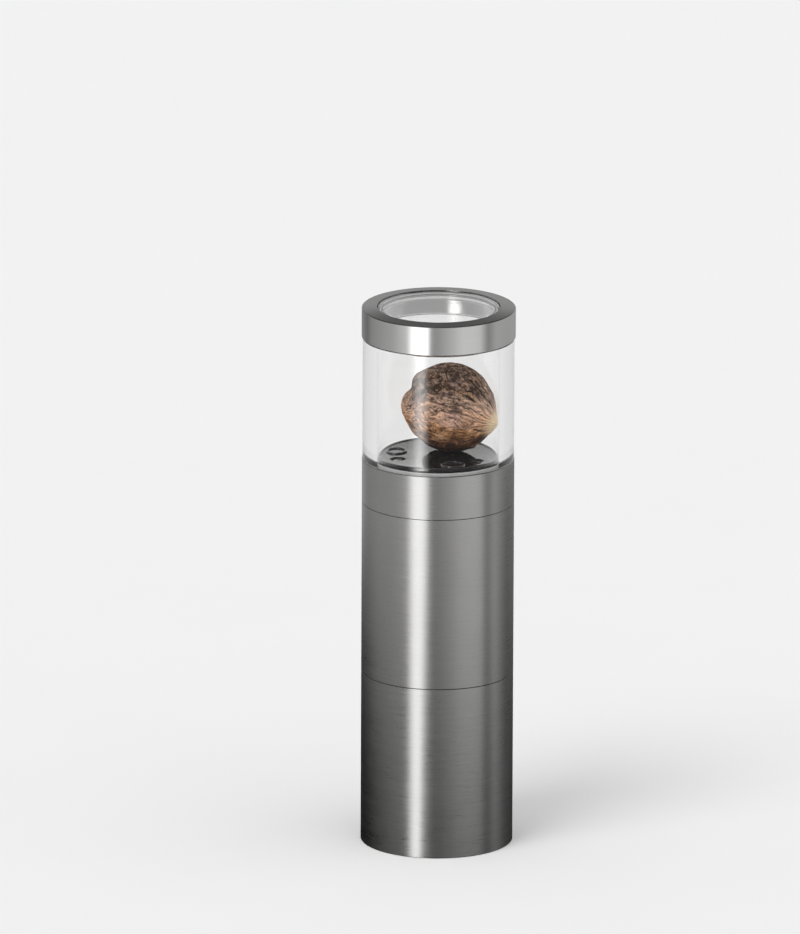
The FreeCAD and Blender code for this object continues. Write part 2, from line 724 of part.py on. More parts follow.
def make_floor_plate():
    """Glossy black floor of the jar: a flanged disc with three ring bosses and three screw recesses."""
    body = new_body("floor_plate")
    turn_profile(body, (
        (0, floor_plate_level),
        (floor_hub_radius, floor_plate_level),
        (floor_hub_radius, floor_flange_level),
        (floor_plate_radius, floor_flange_level),
        (floor_plate_radius, floor_plate_top),
        (0, floor_plate_top),
    ))
    sketch = new_sketch(body, "boss_outline", "XY_Plane", floor_plate_top, BOSS_TURN)
    draw_circle(sketch, s.post_circle, 0, s.boss_radius)
    draw_circle(sketch, s.post_circle, 0, s.boss_bore)
    boss = pad(body, "boss", sketch, s.boss_height)
    repeat_round(body, "bosses", [boss], POST_COUNT)
    recess_radius = s.screw_head + s.screw_play
    cuts = (("recess", recess_radius, s.screw_sink), ("hole", post_hole, s.plate_gauge))
    for name, radius, depth in cuts:
        sketch = new_sketch(body, f"{name}_outline", "XY_Plane", floor_plate_top, POST_TURN)
        draw_circle(sketch, s.post_circle, 0, radius)
        cut = pocket(body, name, sketch, depth)
        repeat_round(body, f"{name}_set", [cut], POST_COUNT)


def make_floor_screws():
    """Three slotted screws that hold the floor plate on the core's posts."""
    body = new_body("floor_screws")
    axis = s.post_circle
    screw = turn_profile(body, (
        (axis, screw_head_top),
        (axis + s.screw_head, screw_head_top),
        (axis + s.screw_head, screw_head_level),
        (axis + s.screw_radius, screw_head_level),
        (axis + s.screw_radius, screw_head_level - s.screw_length),
        (axis, screw_head_level - s.screw_length),
    ), "screw", axis)
    sketch = new_sketch(body, "slot_outline", "XY_Plane", screw_head_top)
    reach = s.screw_head * 0.75
    draw_rectangle(sketch, axis - reach, axis + reach, -s.screw_slot / 2, s.screw_slot / 2)
    slot = pocket(body, "slot", sketch, s.screw_slot)
    repeat_round(body, "screws", [screw, slot], POST_COUNT)
    body.Placement = FreeCAD.Placement(Vector(0, 0, 0), FreeCAD.Rotation(Vector(0, 0, 1), POST_TURN))


def make_nutmeg():
    """Whole nutmeg that lies in the jar."""
    nutmeg = doc.addObject("Part::Ellipsoid", "nutmeg")
    nutmeg.Label = "nutmeg"
    nutmeg.Angle1, nutmeg.Angle2, nutmeg.Angle3 = -90, 90, 360
    nutmeg.setExpression("Radius1", (s.nutmeg_height / 2).text)
    nutmeg.setExpression("Radius2", (s.nutmeg_length / 2).text)
    nutmeg.setExpression("Radius3", (s.nutmeg_width / 2).text)
    offset = jar_bore - s.nutmeg_length / 2 - s.nutmeg_play
    back = jar_bore - s.nutmeg_width / 2 - s.nutmeg_back_play
    height = floor_plate_top + s.seat_fit + s.nutmeg_height / 2
    nutmeg.Placement.Rotation = FreeCAD.Rotation(Vector(0, 0, 1), NUTMEG_TURN)
    nutmeg.setExpression("Placement.Base.x", offset.text)
    nutmeg.setExpression("Placement.Base.y", back.text)
    nutmeg.setExpression("Placement.Base.z", height.text)


def make_storage_unit():
    """All pieces of the storage unit."""
    sleeve("collar_sleeve", collar_level, jar_level)
    make_collar_core()
    make_guide_bush()
    make_plug_seal()
    make_jar()
    gasket_level = shoulder_level + s.seat_fit
    gasket_radius = core_radius - s.seat_fit
    tube("jar_gasket", jar_bore, gasket_radius, gasket_level, gasket_level + s.gasket_gauge)
    make_floor_plate()
    seal_bore = floor_hub_radius + s.seat_fit
    tube("floor_seal", seal_bore, neck_radius, floor_plate_level, floor_flange_level - s.seat_fit)
    make_floor_screws()
    make_nutmeg()


# ---- plunger ----
def make_plunger_rod():
    """Rod with a foot for the press plate and a hole for the stop screw."""
    body = new_body("plunger_rod")
    foot = plate_level + s.plate_height / 4
    hole_level = rod_top - s.stop_screw_length - s.seat_fit
    hole_radius = s.stop_screw_radius + s.seat_fit
    turn_profile(body, (
        (0, foot + s.seat_fit),
        (rod_foot_radius, foot + s.seat_fit),
        (rod_foot_radius, hub_top + s.seat_fit),
        (s.rod_radius, hub_top + s.seat_fit),
        (s.rod_radius, rod_top),
        (hole_radius, rod_top),
        (hole_radius, hole_level),
        (0, hole_level),
    ))


def make_press_plate():
    """Plate with a hub for the rod and seats for the pins."""
    body = new_body("press_plate")
    bevel = s.plate_height / 4
    foot_socket = rod_foot_radius + s.seat_fit
    turn_profile(body, (
        (0, plate_level),
        (plate_radius - bevel, plate_level),
        (plate_radius, plate_level + bevel),
        (plate_radius, plate_top - bevel / 2),
        (plate_radius - bevel / 2, plate_top),
        (hub_radius, plate_top),
        (hub_radius, hub_top),
        (foot_socket, hub_top),
        (foot_socket, plate_level + bevel),
        (0, plate_level + bevel),
    ))
    sketch = new_sketch(body, "pin_hole_outline", "XY_Plane", plate_level)
    draw_circle(sketch, pin_circle, 0, s.pin_radius + s.seat_fit)
    hole = pocket(body, "pin_hole", sketch, s.pin_seat + s.seat_fit, upward=True)
    repeat_round(body, "pin_holes", [hole], PIN_COUNT)


def make_press_prongs():
    """Pointed steel pins that bite into the nutmeg."""
    body = new_body("press_prongs")
    axis = pin_circle
    top = plate_level + s.pin_seat
    tip = plate_level - s.pin_reach
    pin = turn_profile(body, (
        (axis, tip),
        (axis + s.pin_radius, tip + s.pin_point),
        (axis + s.pin_radius, top),
        (axis, top),
    ), "pin", axis)
    repeat_round(body, "pins", [pin], PIN_COUNT)


def make_stop_screw():
    """Screw with a hexagonal socket that holds the stop washer on the rod."""
    body = new_body("stop_screw")
    head_level = stop_top + s.seat_fit
    head_top = head_level + s.stop_head_height
    foot = rod_top - s.stop_screw_length
    turn_profile(body, (
        (0, foot),
        (s.stop_screw_radius, foot),
        (s.stop_screw_radius, head_level),
        (s.stop_head, head_level),
        (s.stop_head, head_top),
        (0, head_top),
    ))
    sketch = new_sketch(body, "socket_outline", "XY_Plane", head_top)
    flat = s.stop_socket
    corner = flat * 0.866
    draw_polygon(sketch, (
        (flat, 0), (flat / 2, corner), (-flat / 2, corner),
        (-flat, 0), (-flat / 2, -corner), (flat / 2, -corner),
    ))
    pocket(body, "socket", sketch, s.stop_head_height * 0.6)


def make_press_spring():
    """Compression spring between the press plate and the guide bush."""
    body = new_body("press_spring")
    low = plate_top + s.stop_gap + s.spring_wire
    high = bush_level - s.stop_gap - s.spring_wire
    sketch = new_sketch(body, "wire_outline", "XZ_Plane")
    draw_circle(sketch, spring_radius, low, s.spring_wire)
    feature = add_feature(body, "AdditiveHelix", "coil", sketch)
    feature.ReferenceAxis = (sketch, ["V_Axis"])
    feature.Mode = "pitch-height-angle"
    feature.setExpression("Pitch", s.spring_pitch.text)
    feature.setExpression("Height", (high - low).text)


def make_plunger():
    """All pieces of the plunger."""
    make_plunger_rod()
    make_press_plate()
    make_press_prongs()
    washer_bore = s.stop_screw_radius + s.seat_fit
    tube("stop_washer", washer_bore, s.rod_radius + s.stop_reach, stop_level, stop_top)
    make_stop_screw()
    make_press_spring()


# ---- cap ----
def make_cap_ring():
    """Steel ring cap with a wide flat top round the window."""
    body = new_body("cap_ring")
    flange_low = top_level - s.cap_flange
    base = turn_profile(body, (
        (cap_bore, cap_level),
        (cap_radius, cap_level),
        (cap_radius, top_level),
        (cap_opening, top_level),
        (cap_opening, flange_low),
        (cap_bore, flange_low),
    ))
    round_rings(body, base, ((cap_radius, top_level),), s.cap_round)


def make_cap_window():
    """Clear window with a flange under the ring and a skirt that plugs the jar."""
    body = new_body("cap_window")
    window_radius = cap_opening - s.seat_fit
    flange_radius = cap_bore - s.seat_fit
    skirt_bore = skirt_radius - s.skirt_wall
    turn_profile(body, (
        (0, window_top),
        (window_radius, window_top),
        (window_radius, window_flange_top),
        (flange_radius, window_flange_top),
        (flange_radius, window_seat),
        (skirt_radius, window_seat),
        (skirt_radius, skirt_level),
        (skirt_bore, skirt_level),
        (skirt_bore, window_top - s.window_gauge),
        (0, window_top - s.window_gauge),
    ))


def make_lid():
    """All pieces of the cap."""
    make_cap_ring()
    make_cap_window()
    seal_bore = skirt_radius + s.seat_fit
    seal_radius = jar_neck_radius - s.seat_fit
    tube("cap_seal", seal_bore, seal_radius, cap_seal_level, cap_seal_top)


# ---- export ----
def sub_parts():
    """Returns the document's sub-parts: its bodies and stand-alone primitives."""
    kinds = ("PartDesign::Body", "Part::Torus", "Part::Ellipsoid")
    return [item for item in doc.Objects if item.TypeId in kinds]


def check_model():
    """Stops with a message if any object failed or any sub-part has no sound shape."""
    faults = []
    for item in doc.Objects:
        if "Invalid" in item.State or "Error" in item.State:
            faults.append(f"{item.Name} failed: {item.State}")
    for item in sub_parts():
        if item.Shape.isNull() or not item.Shape.isValid() or item.Shape.Volume <= 0:
            faults.append(f"{item.Label} has no valid solid")
    if faults:
        raise RuntimeError("; ".join(faults))


def export_parts():
    """Writes one STEP file for each sub-part."""
    os.makedirs("parts", exist_ok=True)
    for item in sub_parts():
        item.Shape.exportStep(os.path.join("parts", f"{item.Label}.step"))
        box = item.Shape.BoundBox
        size = f"z {box.ZMin:7.2f} to {box.ZMax:7.2f}, half width {box.XMax:5.2f}"
        print(f"{item.Label:15s} {len(item.Shape.Solids)} solid(s), {item.Shape.Volume:9.1f} mm3, {size}")


make_head()
make_body()
make_storage_unit()
make_plunger()
make_lid()
doc.recompute()
check_model()
export_parts()
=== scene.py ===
"""Finish, studio and camera for the upright twist nutmeg mill.

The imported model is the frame. The steel sleeves, the cap, the clear jar with its floor and screws, the
nutmeg, the rings and seals and the spring are rebuilt here as fine meshes over their nodes; the other nodes
stay and get their finish.
Lengths are written in millimetres and turned into metres where a mesh is made. The mill stands on
its own axis, +Z up, and its front is at -Y.
"""
import math

import bmesh
import bpy
import numpy as np
from mathutils import Matrix, Vector, noise


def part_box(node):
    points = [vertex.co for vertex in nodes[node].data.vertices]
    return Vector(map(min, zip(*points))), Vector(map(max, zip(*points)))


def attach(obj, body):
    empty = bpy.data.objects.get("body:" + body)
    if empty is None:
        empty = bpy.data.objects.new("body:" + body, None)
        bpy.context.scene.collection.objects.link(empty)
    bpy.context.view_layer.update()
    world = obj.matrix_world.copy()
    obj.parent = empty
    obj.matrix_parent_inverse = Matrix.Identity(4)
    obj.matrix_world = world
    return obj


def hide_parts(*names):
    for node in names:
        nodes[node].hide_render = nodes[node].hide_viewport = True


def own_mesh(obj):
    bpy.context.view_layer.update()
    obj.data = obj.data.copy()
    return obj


MM = 0.001

# Camera: a long lens, a little above the mill.
IMAGE_SIZE = (800, 934)
PIXELS_PER_MM = 3.81
CAMERA_ELEVATION = 15.6
CAMERA_ROLL = 0.24
CAMERA_TARGET = (-10.0, 0.0, 101.2)
CAMERA_LENS = 1000.0
CAMERA_SENSOR = 36.0
CAMERA_CLIP = (0.05, 50.0)

# Studio
BACKDROP_LEVEL = 0.888
AMBIENT_LEVEL = 0.62
FLOOR_RADIUS = 9000.0
FLOOR_DROP = 0.02
FLOOR_SIDES = 128
FLOOR_TONES = (0.885, 0.892)
# Lamps: azimuth, elevation, share of the plain light level, and how wide they look, in degrees.
LAMPS = {
    "key_lamp": (-40.0, 52.0, 0.26, 30.0),
    "fill_lamp": (60.0, 60.0, 0.12, 60.0),
}
WRAP_RADIUS = 250.0
WRAP_COLUMNS = 240
WRAP_FOOT = -320.0
# Flat rims mirror what is above this height of the wrap, and upright walls what is below it.
RIM_LIGHT_FOOT = 155

# Meshes
LATHE_SEGMENTS = 256
RING_SEGMENTS = 192
SMALL_SEGMENTS = 96
CORNER_STEPS = 4
EDGE_ROUND = 0.08

# Sizes that a node's box doesn't tell
SLEEVE_WALL = 0.9
RIM_EDGE, SEAM_EDGE, SEAM_REACH = 0.15, 0.05, 0.07
CAP_WALL = 1.0
CAP_LEDGE = 4.05
CAP_FLANGE = 1.4
CAP_CONE = 0.25
# How far inside the cap ring's outer surfaces its bore with painted shade begins, and the painted shade of
# the bore:
# its share of the steel's tone from its foot to its top, darkest at the top.
BORE_INSET = 0.8
BORE_SHADE = ((0.0, 0.75), (0.35, 0.62), (0.65, 0.40), (0.9, 0.16))
SEAT_PLAY = 0.05
WINDOW_GAUGE = 1.6
WINDOW_FLANGE = 1.25
SKIRT_WALL = 0.65
SKIRT_PLAY = 0.35
JAR_WALL = 3.9
JAR_NECK_INSET = 1.4
JAR_SPIGOT_HEIGHT = 4.25
JAR_NECK_HEIGHT = 4.55
POST_CIRCLE = 11.4
BOSS_TURN = -71.4
BOSS_RADIUS, BOSS_BORE, BOSS_HEIGHT, BOSS_ROOT = 3.0, 2.3, 0.4, 0.3
PLATE_REACH, PLATE_FLANGE = 1.3, 0.95
BEAD_WIDTH, BEAD_HEIGHT, BEAD_SLOPE = 0.7, 0.32, 0.15
SCREW_TURN = -33.8
RECESS_RADIUS, RECESS_DEPTH = 1.95, 1.2
CUT_MARGIN = 1.0
SCREW_HEAD_RADIUS, SCREW_HEAD_HEIGHT = 1.6, 1.0
SCREW_SHANK = 0.85
SLOT_WIDTH, SLOT_DEPTH, SLOT_LENGTH, SLOT_TURN = 0.42, 0.38, 4.0, 25.0
# Plain rings: node, bore radius, body, material slot and rounding of the edges.
RINGS = (
    ("jar_gasket", 16.0, "storage_unit", "clear_silicone", 0.2),
    ("floor_seal", 14.6, "storage_unit", "clear_silicone", 0.2),
    ("cap_seal", 15.7, "lid", "clear_silicone", 0.2),
    ("bearing_ring", 15.48, "grinder_head", "bearing_plastic", 0.25),
    ("glide_washer", 15.7, "grinder_head", "gloss_black", 0.2),
    ("stop_washer", 1.55, "plunger", "turned_steel", 0.15),
)
SPRING_WIRE = 0.5
SPRING_PITCH = 4.0
SPRING_CLOSED_TURNS = 1.2
SPRING_STEPS, SPRING_SIDES = 48, 12
# How much of the spring's rise is even along the wire, and how much is eased into its closed ends.
SPRING_EVEN, SPRING_EASED = 0.86, 0.14
NUTMEG_TURN = -20.0
NUTMEG_AXES = (12.8, 10.6, 11.7)
NUTMEG_TIP = 1.15
FURROW_DEPTH, WRINKLE_DEPTH = 0.26, 0.12

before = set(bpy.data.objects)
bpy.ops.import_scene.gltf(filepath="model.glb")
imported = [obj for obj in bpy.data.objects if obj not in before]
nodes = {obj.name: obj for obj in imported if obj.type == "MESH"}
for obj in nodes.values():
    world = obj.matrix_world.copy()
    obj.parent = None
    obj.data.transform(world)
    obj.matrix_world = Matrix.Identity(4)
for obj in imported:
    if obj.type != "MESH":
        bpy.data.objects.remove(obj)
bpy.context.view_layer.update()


# ---- meshes ----
def node_mm(name):
    """Lowest and highest corner of a node, in millimetres."""
    low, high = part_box(name)
    return np.array(low) / MM, np.array(high) / MM


def turned_outline(corners):
    """Rounds a closed (radius, height[, rounding]) outline that runs anticlockwise.

    Returns its points and their outward normals."""
    points, normals = [], []
    count = len(corners)
    for index, corner in enumerate(corners):
        here = np.array(corner[:2], float)
        rounding = corner[2] if len(corner) > 2 else EDGE_ROUND
        arriving = here - np.array(corners[index - 1][:2], float)
        leaving = np.array(corners[(index + 1) % count][:2], float) - here
        arriving_length, leaving_length = np.linalg.norm(arriving), np.linalg.norm(leaving)
        arriving, leaving = arriving / arriving_length, leaving / leaving_length
        if here[0] < 1e-6:
            flat = leaving if abs(leaving[0]) > abs(arriving[0]) else arriving
            points.append(here)
            normals.append(np.array((0.0, -flat[0])))
            continue
        turn = math.atan2(arriving[0] * leaving[1] - arriving[1] * leaving[0], arriving @ leaving)
        side = math.copysign(1.0, turn)
        tangent = abs(math.tan(turn / 2))
        rounding = min(rounding, 0.45 * min(arriving_length, leaving_length) / max(tangent, 1e-6))
        first_normal = np.array((arriving[1], -arriving[0]))
        start = here - arriving * rounding * tangent
        centre = start - side * rounding * first_normal
        steps = max(1, round(CORNER_STEPS * abs(turn) / (math.pi / 2)))
        for step in range(steps + 1):
            angle = turn * step / steps
            cosine, sine = math.cos(angle), math.sin(angle)
            normal = np.array((
                first_normal[0] * cosine - first_normal[1] * sine,
                first_normal[0] * sine + first_normal[1] * cosine,
            ))
            points.append(centre + side * rounding * normal)
            normals.append(normal)
    return points, normals


def lathe(name, corners, segments=LATHE_SEGMENTS):
    """Turns a rounded outline about the main axis."""
    points, normals = turned_outline(corners)
    angles = np.linspace(0, 2 * math.pi, segments, endpoint=False)
    around = np.stack((np.cos(angles), np.sin(angles)), 1)
    vertices, vertex_normals, rings = [], [], []
    for point, normal in zip(points, normals):
        first = len(vertices)
        if point[0] < 1e-6:
            vertices.append((0.0, 0.0, point[1] * MM))
            vertex_normals.append((0.0, 0.0, math.copysign(1.0, normal[1])))
            rings.append([first] * segments)
            continue
        for cosine, sine in around:
            vertices.append((point[0] * cosine * MM, point[0] * sine * MM, point[1] * MM))
            vertex_normals.append((normal[0] * cosine, normal[0] * sine, normal[1]))
        rings.append(list(range(first, first + segments)))
    faces = []
    for index, ring in enumerate(rings):
        above = rings[(index + 1) % len(rings)]
        if ring[0] == ring[1] and above[0] == above[1]:
            continue
        for step in range(segments):
            following = (step + 1) % segments
            loop = (ring[step], ring[following], above[following], above[step])
            faces.append(tuple(dict.fromkeys(loop)))
    mesh = bpy.data.meshes.new(name)
    mesh.from_pydata(vertices, [], faces)
    mesh.polygons.foreach_set("use_smooth", [True] * len(mesh.polygons))
    mesh.normals_split_custom_set_from_vertices(vertex_normals)
    return add_object(name, mesh)


def add_object(name, mesh):
    """Links a mesh to the scene as an object."""
    piece = bpy.data.objects.new(name, mesh)
    bpy.context.scene.collection.objects.link(piece)
    return piece


def stand_for(piece, node, body, material):
    """Makes a piece ride on its body in place of a node, with its finish."""
    piece.data.materials.clear()
    piece.data.materials.append(material)
    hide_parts(node)
    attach(piece, body)
    return piece


# ---- materials ----
class Finish:
    """A material whose node tree is built in short steps, in millimetres of the object's own frame."""

    def __init__(self, name, **inputs):
        self.material = bpy.data.materials.new(name)
        self.material.use_nodes = True
        self.tree = self.material.node_tree
        self.shader = self.tree.nodes["Principled BSDF"]
        for key, value in inputs.items():
            self.shader.inputs[key.replace("_", " ")].default_value = value

    def add(self, kind, **settings):
        """Adds a node and sets its properties."""
        node = self.tree.nodes.new(f"ShaderNode{kind}")
        for key, value in settings.items():
            setattr(node, key, value)
        return node

    def link(self, source, target):
        """Links two sockets."""
        self.tree.links.new(source, target)

    def place(self, scale=(1.0, 1.0, 1.0), move=(0.0, 0.0, 0.0), turn=(0.0, 0.0, 0.0)):
        """Position on the object in millimetres, moved, turned in degrees and scaled."""
        coordinates = self.add("TexCoord")
        mapping = self.add("Mapping", vector_type="POINT")
        mapping.inputs["Scale"].default_value = [value / MM for value in scale]
        mapping.inputs["Rotation"].default_value = [math.radians(value) for value in turn]
        mapping.inputs["Location"].default_value = move
        self.link(coordinates.outputs["Object"], mapping.inputs["Vector"])
        return mapping.outputs["Vector"]

    def stretch(self, vector, scale):
        """Scales a vector along each axis."""
        mapping = self.add("Mapping", vector_type="POINT")
        mapping.inputs["Scale"].default_value = scale
        self.link(vector, mapping.inputs["Vector"])
        return mapping.outputs["Vector"]

    def math(self, operation, first, second=0.0):
        """Combines sockets or numbers."""
        node = self.add("Math", operation=operation)
        for index, value in enumerate((first, second)):
            if isinstance(value, (int, float)):
                node.inputs[index].default_value = value
            else:
                self.link(value, node.inputs[index])
        return node.outputs[0]

    def noise(self, vector, scale, detail=2.0, roughness=0.5, distortion=0.0):
        """Noise from 0 to 1, at so many features for each unit of the vector."""
        node = self.add("TexNoise")
        node.inputs["Scale"].default_value = scale
        node.inputs["Detail"].default_value = detail
        node.inputs["Roughness"].default_value = roughness
        node.inputs["Distortion"].default_value = distortion
        self.link(vector, node.inputs["Vector"])
        return node.outputs["Fac"]

    def ramp(self, factor, *stops):
        """Colour by factor, from (position, colour) stops."""
        node = self.add("ValToRGB")
        elements = node.color_ramp.elements
        while len(elements) < len(stops):
            elements.new(0.5)
        for element, (position, colour) in zip(elements, stops):
            element.position = position
            element.color = (*colour, 1.0)
        self.link(factor, node.inputs["Fac"])
        return node.outputs["Color"]

    def remap(self, value, low, high, to_low, to_high):
        """Maps a range of a value to another range, clamped."""
        node = self.add("MapRange")
        for key, number in zip(("From Min", "From Max", "To Min", "To Max"), (low, high, to_low, to_high)):
            node.inputs[key].default_value = number
        self.link(value, node.inputs["Value"])
        return node.outputs["Result"]

    def mix(self, factor, first, second, blend="MIX"):
        """Mixes two colours by a factor."""
        node = self.add("Mix", data_type="RGBA", blend_type=blend)
        sockets = (node.inputs[0], node.inputs[6], node.inputs[7])
        for socket, value in zip(sockets, (factor, first, second)):
            if isinstance(value, (int, float)):
                socket.default_value = value
            elif isinstance(value, tuple):
                socket.default_value = (*value, 1.0)
            else:
                self.link(value, socket)
        return node.outputs[2]

    def bump(self, height, depth, normal=None):
        """Bump of so many millimetres' depth."""
        node = self.add("Bump")
        node.inputs["Strength"].default_value = 1.0
        node.inputs["Distance"].default_value = depth * MM
        self.link(height, node.inputs["Height"])
        if normal is not None:
            self.link(normal, node.inputs["Normal"])
        return node.outputs["Normal"]

    def attribute(self, name, output="Fac"):
        """A value that the mesh carries at its vertices."""
        node = self.add("Attribute", attribute_name=name)
        return node.outputs[output]

    def drive(self, key, value):
        """Feeds a socket of the shader."""
        self.link(value, self.shader.inputs[key])


def axis_distance(finish):
    """Distance from the main axis, in the object's own metres."""
    coordinates = finish.add("TexCoord")
    flat = finish.add("VectorMath", operation="MULTIPLY")
    finish.link(coordinates.outputs["Object"], flat.inputs[0])
    flat.inputs[1].default_value = (1.0, 1.0, 0.0)
    radius = finish.add("VectorMath", operation="LENGTH")
    finish.link(flat.outputs[0], radius.inputs[0])
    return radius.outputs["Value"]


def turned_steel_place(finish, around, along):
    """Position stretched round the axis: lathe lines run round the sleeves and across flat rims."""
    coordinates = finish.add("TexCoord")
    split = finish.add("SeparateXYZ")
    finish.link(coordinates.outputs["Object"], split.inputs[0])
    run = finish.math("ADD", axis_distance(finish), split.outputs[2])
    joined = finish.add("CombineXYZ")
    finish.link(finish.math("MULTIPLY", split.outputs[0], around / MM), joined.inputs[0])
    finish.link(finish.math("MULTIPLY", split.outputs[1], around / MM), joined.inputs[1])
    finish.link(finish.math("MULTIPLY", run, along / MM), joined.inputs[2])
    return joined.outputs[0]


def brushed_steel(name, tone, roughness, spread, line_depth, grain=0.09, bore=None):
    """Stainless steel with brush lines that run round the axis.

    Inside a bore, given as radius, foot and top, its colour is darkened with painted shade, darkest at the
    top."""
    finish = Finish(name, Metallic=1.0, Anisotropic=spread, Anisotropic_Rotation=0.25)
    tangent = finish.add("Tangent", direction_type="RADIAL", axis="Z")
    finish.link(tangent.outputs[0], finish.shader.inputs["Tangent"])
    fine = finish.noise(turned_steel_place(finish, 0.35, 5.0), 1.0, 3.0, 0.65)
    long_lines = finish.noise(turned_steel_place(finish, 0.06, 2.2), 1.0, 2.0, 0.6)
    smudge = finish.noise(finish.place(), 0.09, 3.0, 0.55)
    lines = finish.math("ADD", finish.math("MULTIPLY", fine, 0.6), finish.math("MULTIPLY", long_lines, 0.4))
    dark, pale = [tuple(channel * share for channel in tone) for share in (1 - grain, 1 + grain)]
    colour = finish.ramp(lines, (0.3, dark), (0.7, pale))
    if bore:
        radius, foot, top = [length * MM for length in bore]
        split = finish.add("SeparateXYZ")
        finish.link(finish.add("TexCoord").outputs["Object"], split.inputs[0])
        inside = finish.math("LESS_THAN", axis_distance(finish), radius)
        under = finish.math("LESS_THAN", split.outputs[2], top)
        # Painted shade inside the bore: the steel's tone darkened from the foot towards the top.
        painted_bore_shade = finish.ramp(finish.remap(split.outputs[2], foot, top, 0.0, 1.0), *[
            (place, tuple(channel * share for channel in tone)) for place, share in BORE_SHADE])
        colour = finish.mix(finish.math("MULTIPLY", inside, under), colour, painted_bore_shade)
    finish.drive("Base Color", colour)
    rough = finish.math("ADD", finish.remap(lines, 0.3, 0.7, roughness * 0.85, roughness * 1.15),
                        finish.remap(smudge, 0.35, 0.7, -0.012, 0.02))
    finish.drive("Roughness", rough)
    finish.drive("Normal", finish.bump(lines, line_depth))
    return finish.material


def clear_plastic(name, tint, roughness):
    """Clear moulded plastic with a trace of moulding flow."""
    finish = Finish(name, Base_Color=(*tint, 1.0), Roughness=roughness, IOR=1.49, Transmission_Weight=1.0)
    flow = finish.noise(finish.place((0.03, 0.03, 0.12)), 1.0, 1.0)
    finish.drive("Normal", finish.bump(flow, 0.02))
    return finish.material


def moulded_plastic(name, colour, roughness, grain_depth):
    """Moulded plastic with a fine spark-eroded grain and a little wear."""
    finish = Finish(name)
    grain = finish.noise(finish.place(), 4.5, 2.0, 0.6)
    cloud = finish.noise(finish.place(), 0.15, 3.0, 0.6)
    worn = tuple(min(1.0, channel * 1.5 + 0.01) for channel in colour)
    finish.drive("Base Color", finish.ramp(cloud, (0.35, colour), (0.8, worn)))
    finish.drive("Roughness", finish.remap(cloud, 0.3, 0.7, roughness * 0.85, min(1.0, roughness * 1.2)))
    finish.drive("Normal", finish.bump(grain, grain_depth))
    return finish.material


def gloss_plastic(name, colour):
    """Polished black plastic with faint moulding waves and dust."""
    finish = Finish(name, Coat_Weight=1.0, Coat_Roughness=0.03)
    waves = finish.noise(finish.place(), 0.24, 1.5, 0.5, 1.2)
    dust = finish.noise(finish.place(), 2.6, 4.0, 0.7)
    finish.drive("Base Color", finish.ramp(dust, (0.55, colour), (0.8, (0.035, 0.034, 0.033))))
    finish.drive("Roughness", finish.remap(dust, 0.5, 0.75, 0.06, 0.22))
    finish.drive("Normal", finish.bump(waves, 0.06))
    return finish.material


def plain_metal(name, colour, roughness, line_scale, line_depth):
    """Turned or ground metal with fine tool lines."""
    finish = Finish(name, Metallic=1.0)
    lines = finish.noise(turned_steel_place(finish, 0.1, line_scale), 1.0, 3.0, 0.6)
    smudge = finish.noise(finish.place(), 0.4, 3.0)
    dark = tuple(channel * 0.82 for channel in colour)
    finish.drive("Base Color", finish.ramp(lines, (0.3, dark), (0.65, colour)))
    finish.drive("Roughness", finish.remap(smudge, 0.3, 0.75, roughness * 0.8, roughness * 1.35))
    finish.drive("Normal", finish.bump(lines, line_depth))
    return finish.material


def soft_rubber(name, colour, roughness, clearness):
    """Silicone rubber with a soft sheen and clinging dust."""
    finish = Finish(name, IOR=1.41, Transmission_Weight=clearness, Sheen_Weight=0.1)
    dust = finish.noise(finish.place(), 3.0, 4.0, 0.7)
    pale = tuple(min(1.0, channel * 1.2 + 0.02) for channel in colour)
    finish.drive("Base Color", finish.ramp(dust, (0.45, colour), (0.8, pale)))
    finish.drive("Roughness", finish.remap(dust, 0.4, 0.7, roughness, roughness * 1.4))
    finish.drive("Normal", finish.bump(dust, 0.006))
    return finish.material


# Tones of the shell: by height from its foot to its crown, where the dark foot and crown are partly its own
# tone and partly painted shade; then its patches, a painted sheen on its front, its marks and tip.
SHELL_TONES_AND_SHADE = (
    (0.08, (0.075, 0.032, 0.017)), (0.18, (0.22, 0.100, 0.048)), (0.27, (0.52, 0.27, 0.125)),
    (0.36, (0.74, 0.43, 0.24)), (0.50, (0.70, 0.45, 0.31)), (0.64, (0.62, 0.42, 0.31)),
    (0.76, (0.40, 0.275, 0.205)), (0.92, (0.28, 0.195, 0.145)),
)
# The last of these three colours is a painted sheen on the shell's front; the first two are patches of its
# own colour.
SHELL_PURPLE, SHELL_WARM, SHELL_PAINTED_SHEEN = (0.20, 0.135, 0.150), (0.80, 0.42, 0.19), (0.62, 0.41, 0.33)
SHELL_STREAKS = (
    (0.37, (0.26, 0.22, 0.22)), (0.45, (0.68, 0.65, 0.65)), (0.53, (1.03, 1.0, 0.98)),
    (0.63, (1.50, 1.46, 1.40)),
)
SHELL_MOTTLE, SHELL_SPECKS = (0.030, 0.017, 0.011), (0.026, 0.013, 0.009)
# Dark colours of the wrinkles and furrows: partly the shell's own dark lines, partly painted shade in the
# creases.
SHELL_WRINKLE_TONE_AND_SHADE, SHELL_FURROW_TONE_AND_SHADE = (0.050, 0.022, 0.012), (0.016, 0.007, 0.005)
SHELL_TIP = ((0.38, (0.60, 0.36, 0.16)), (0.50, (1.0, 0.80, 0.50)))


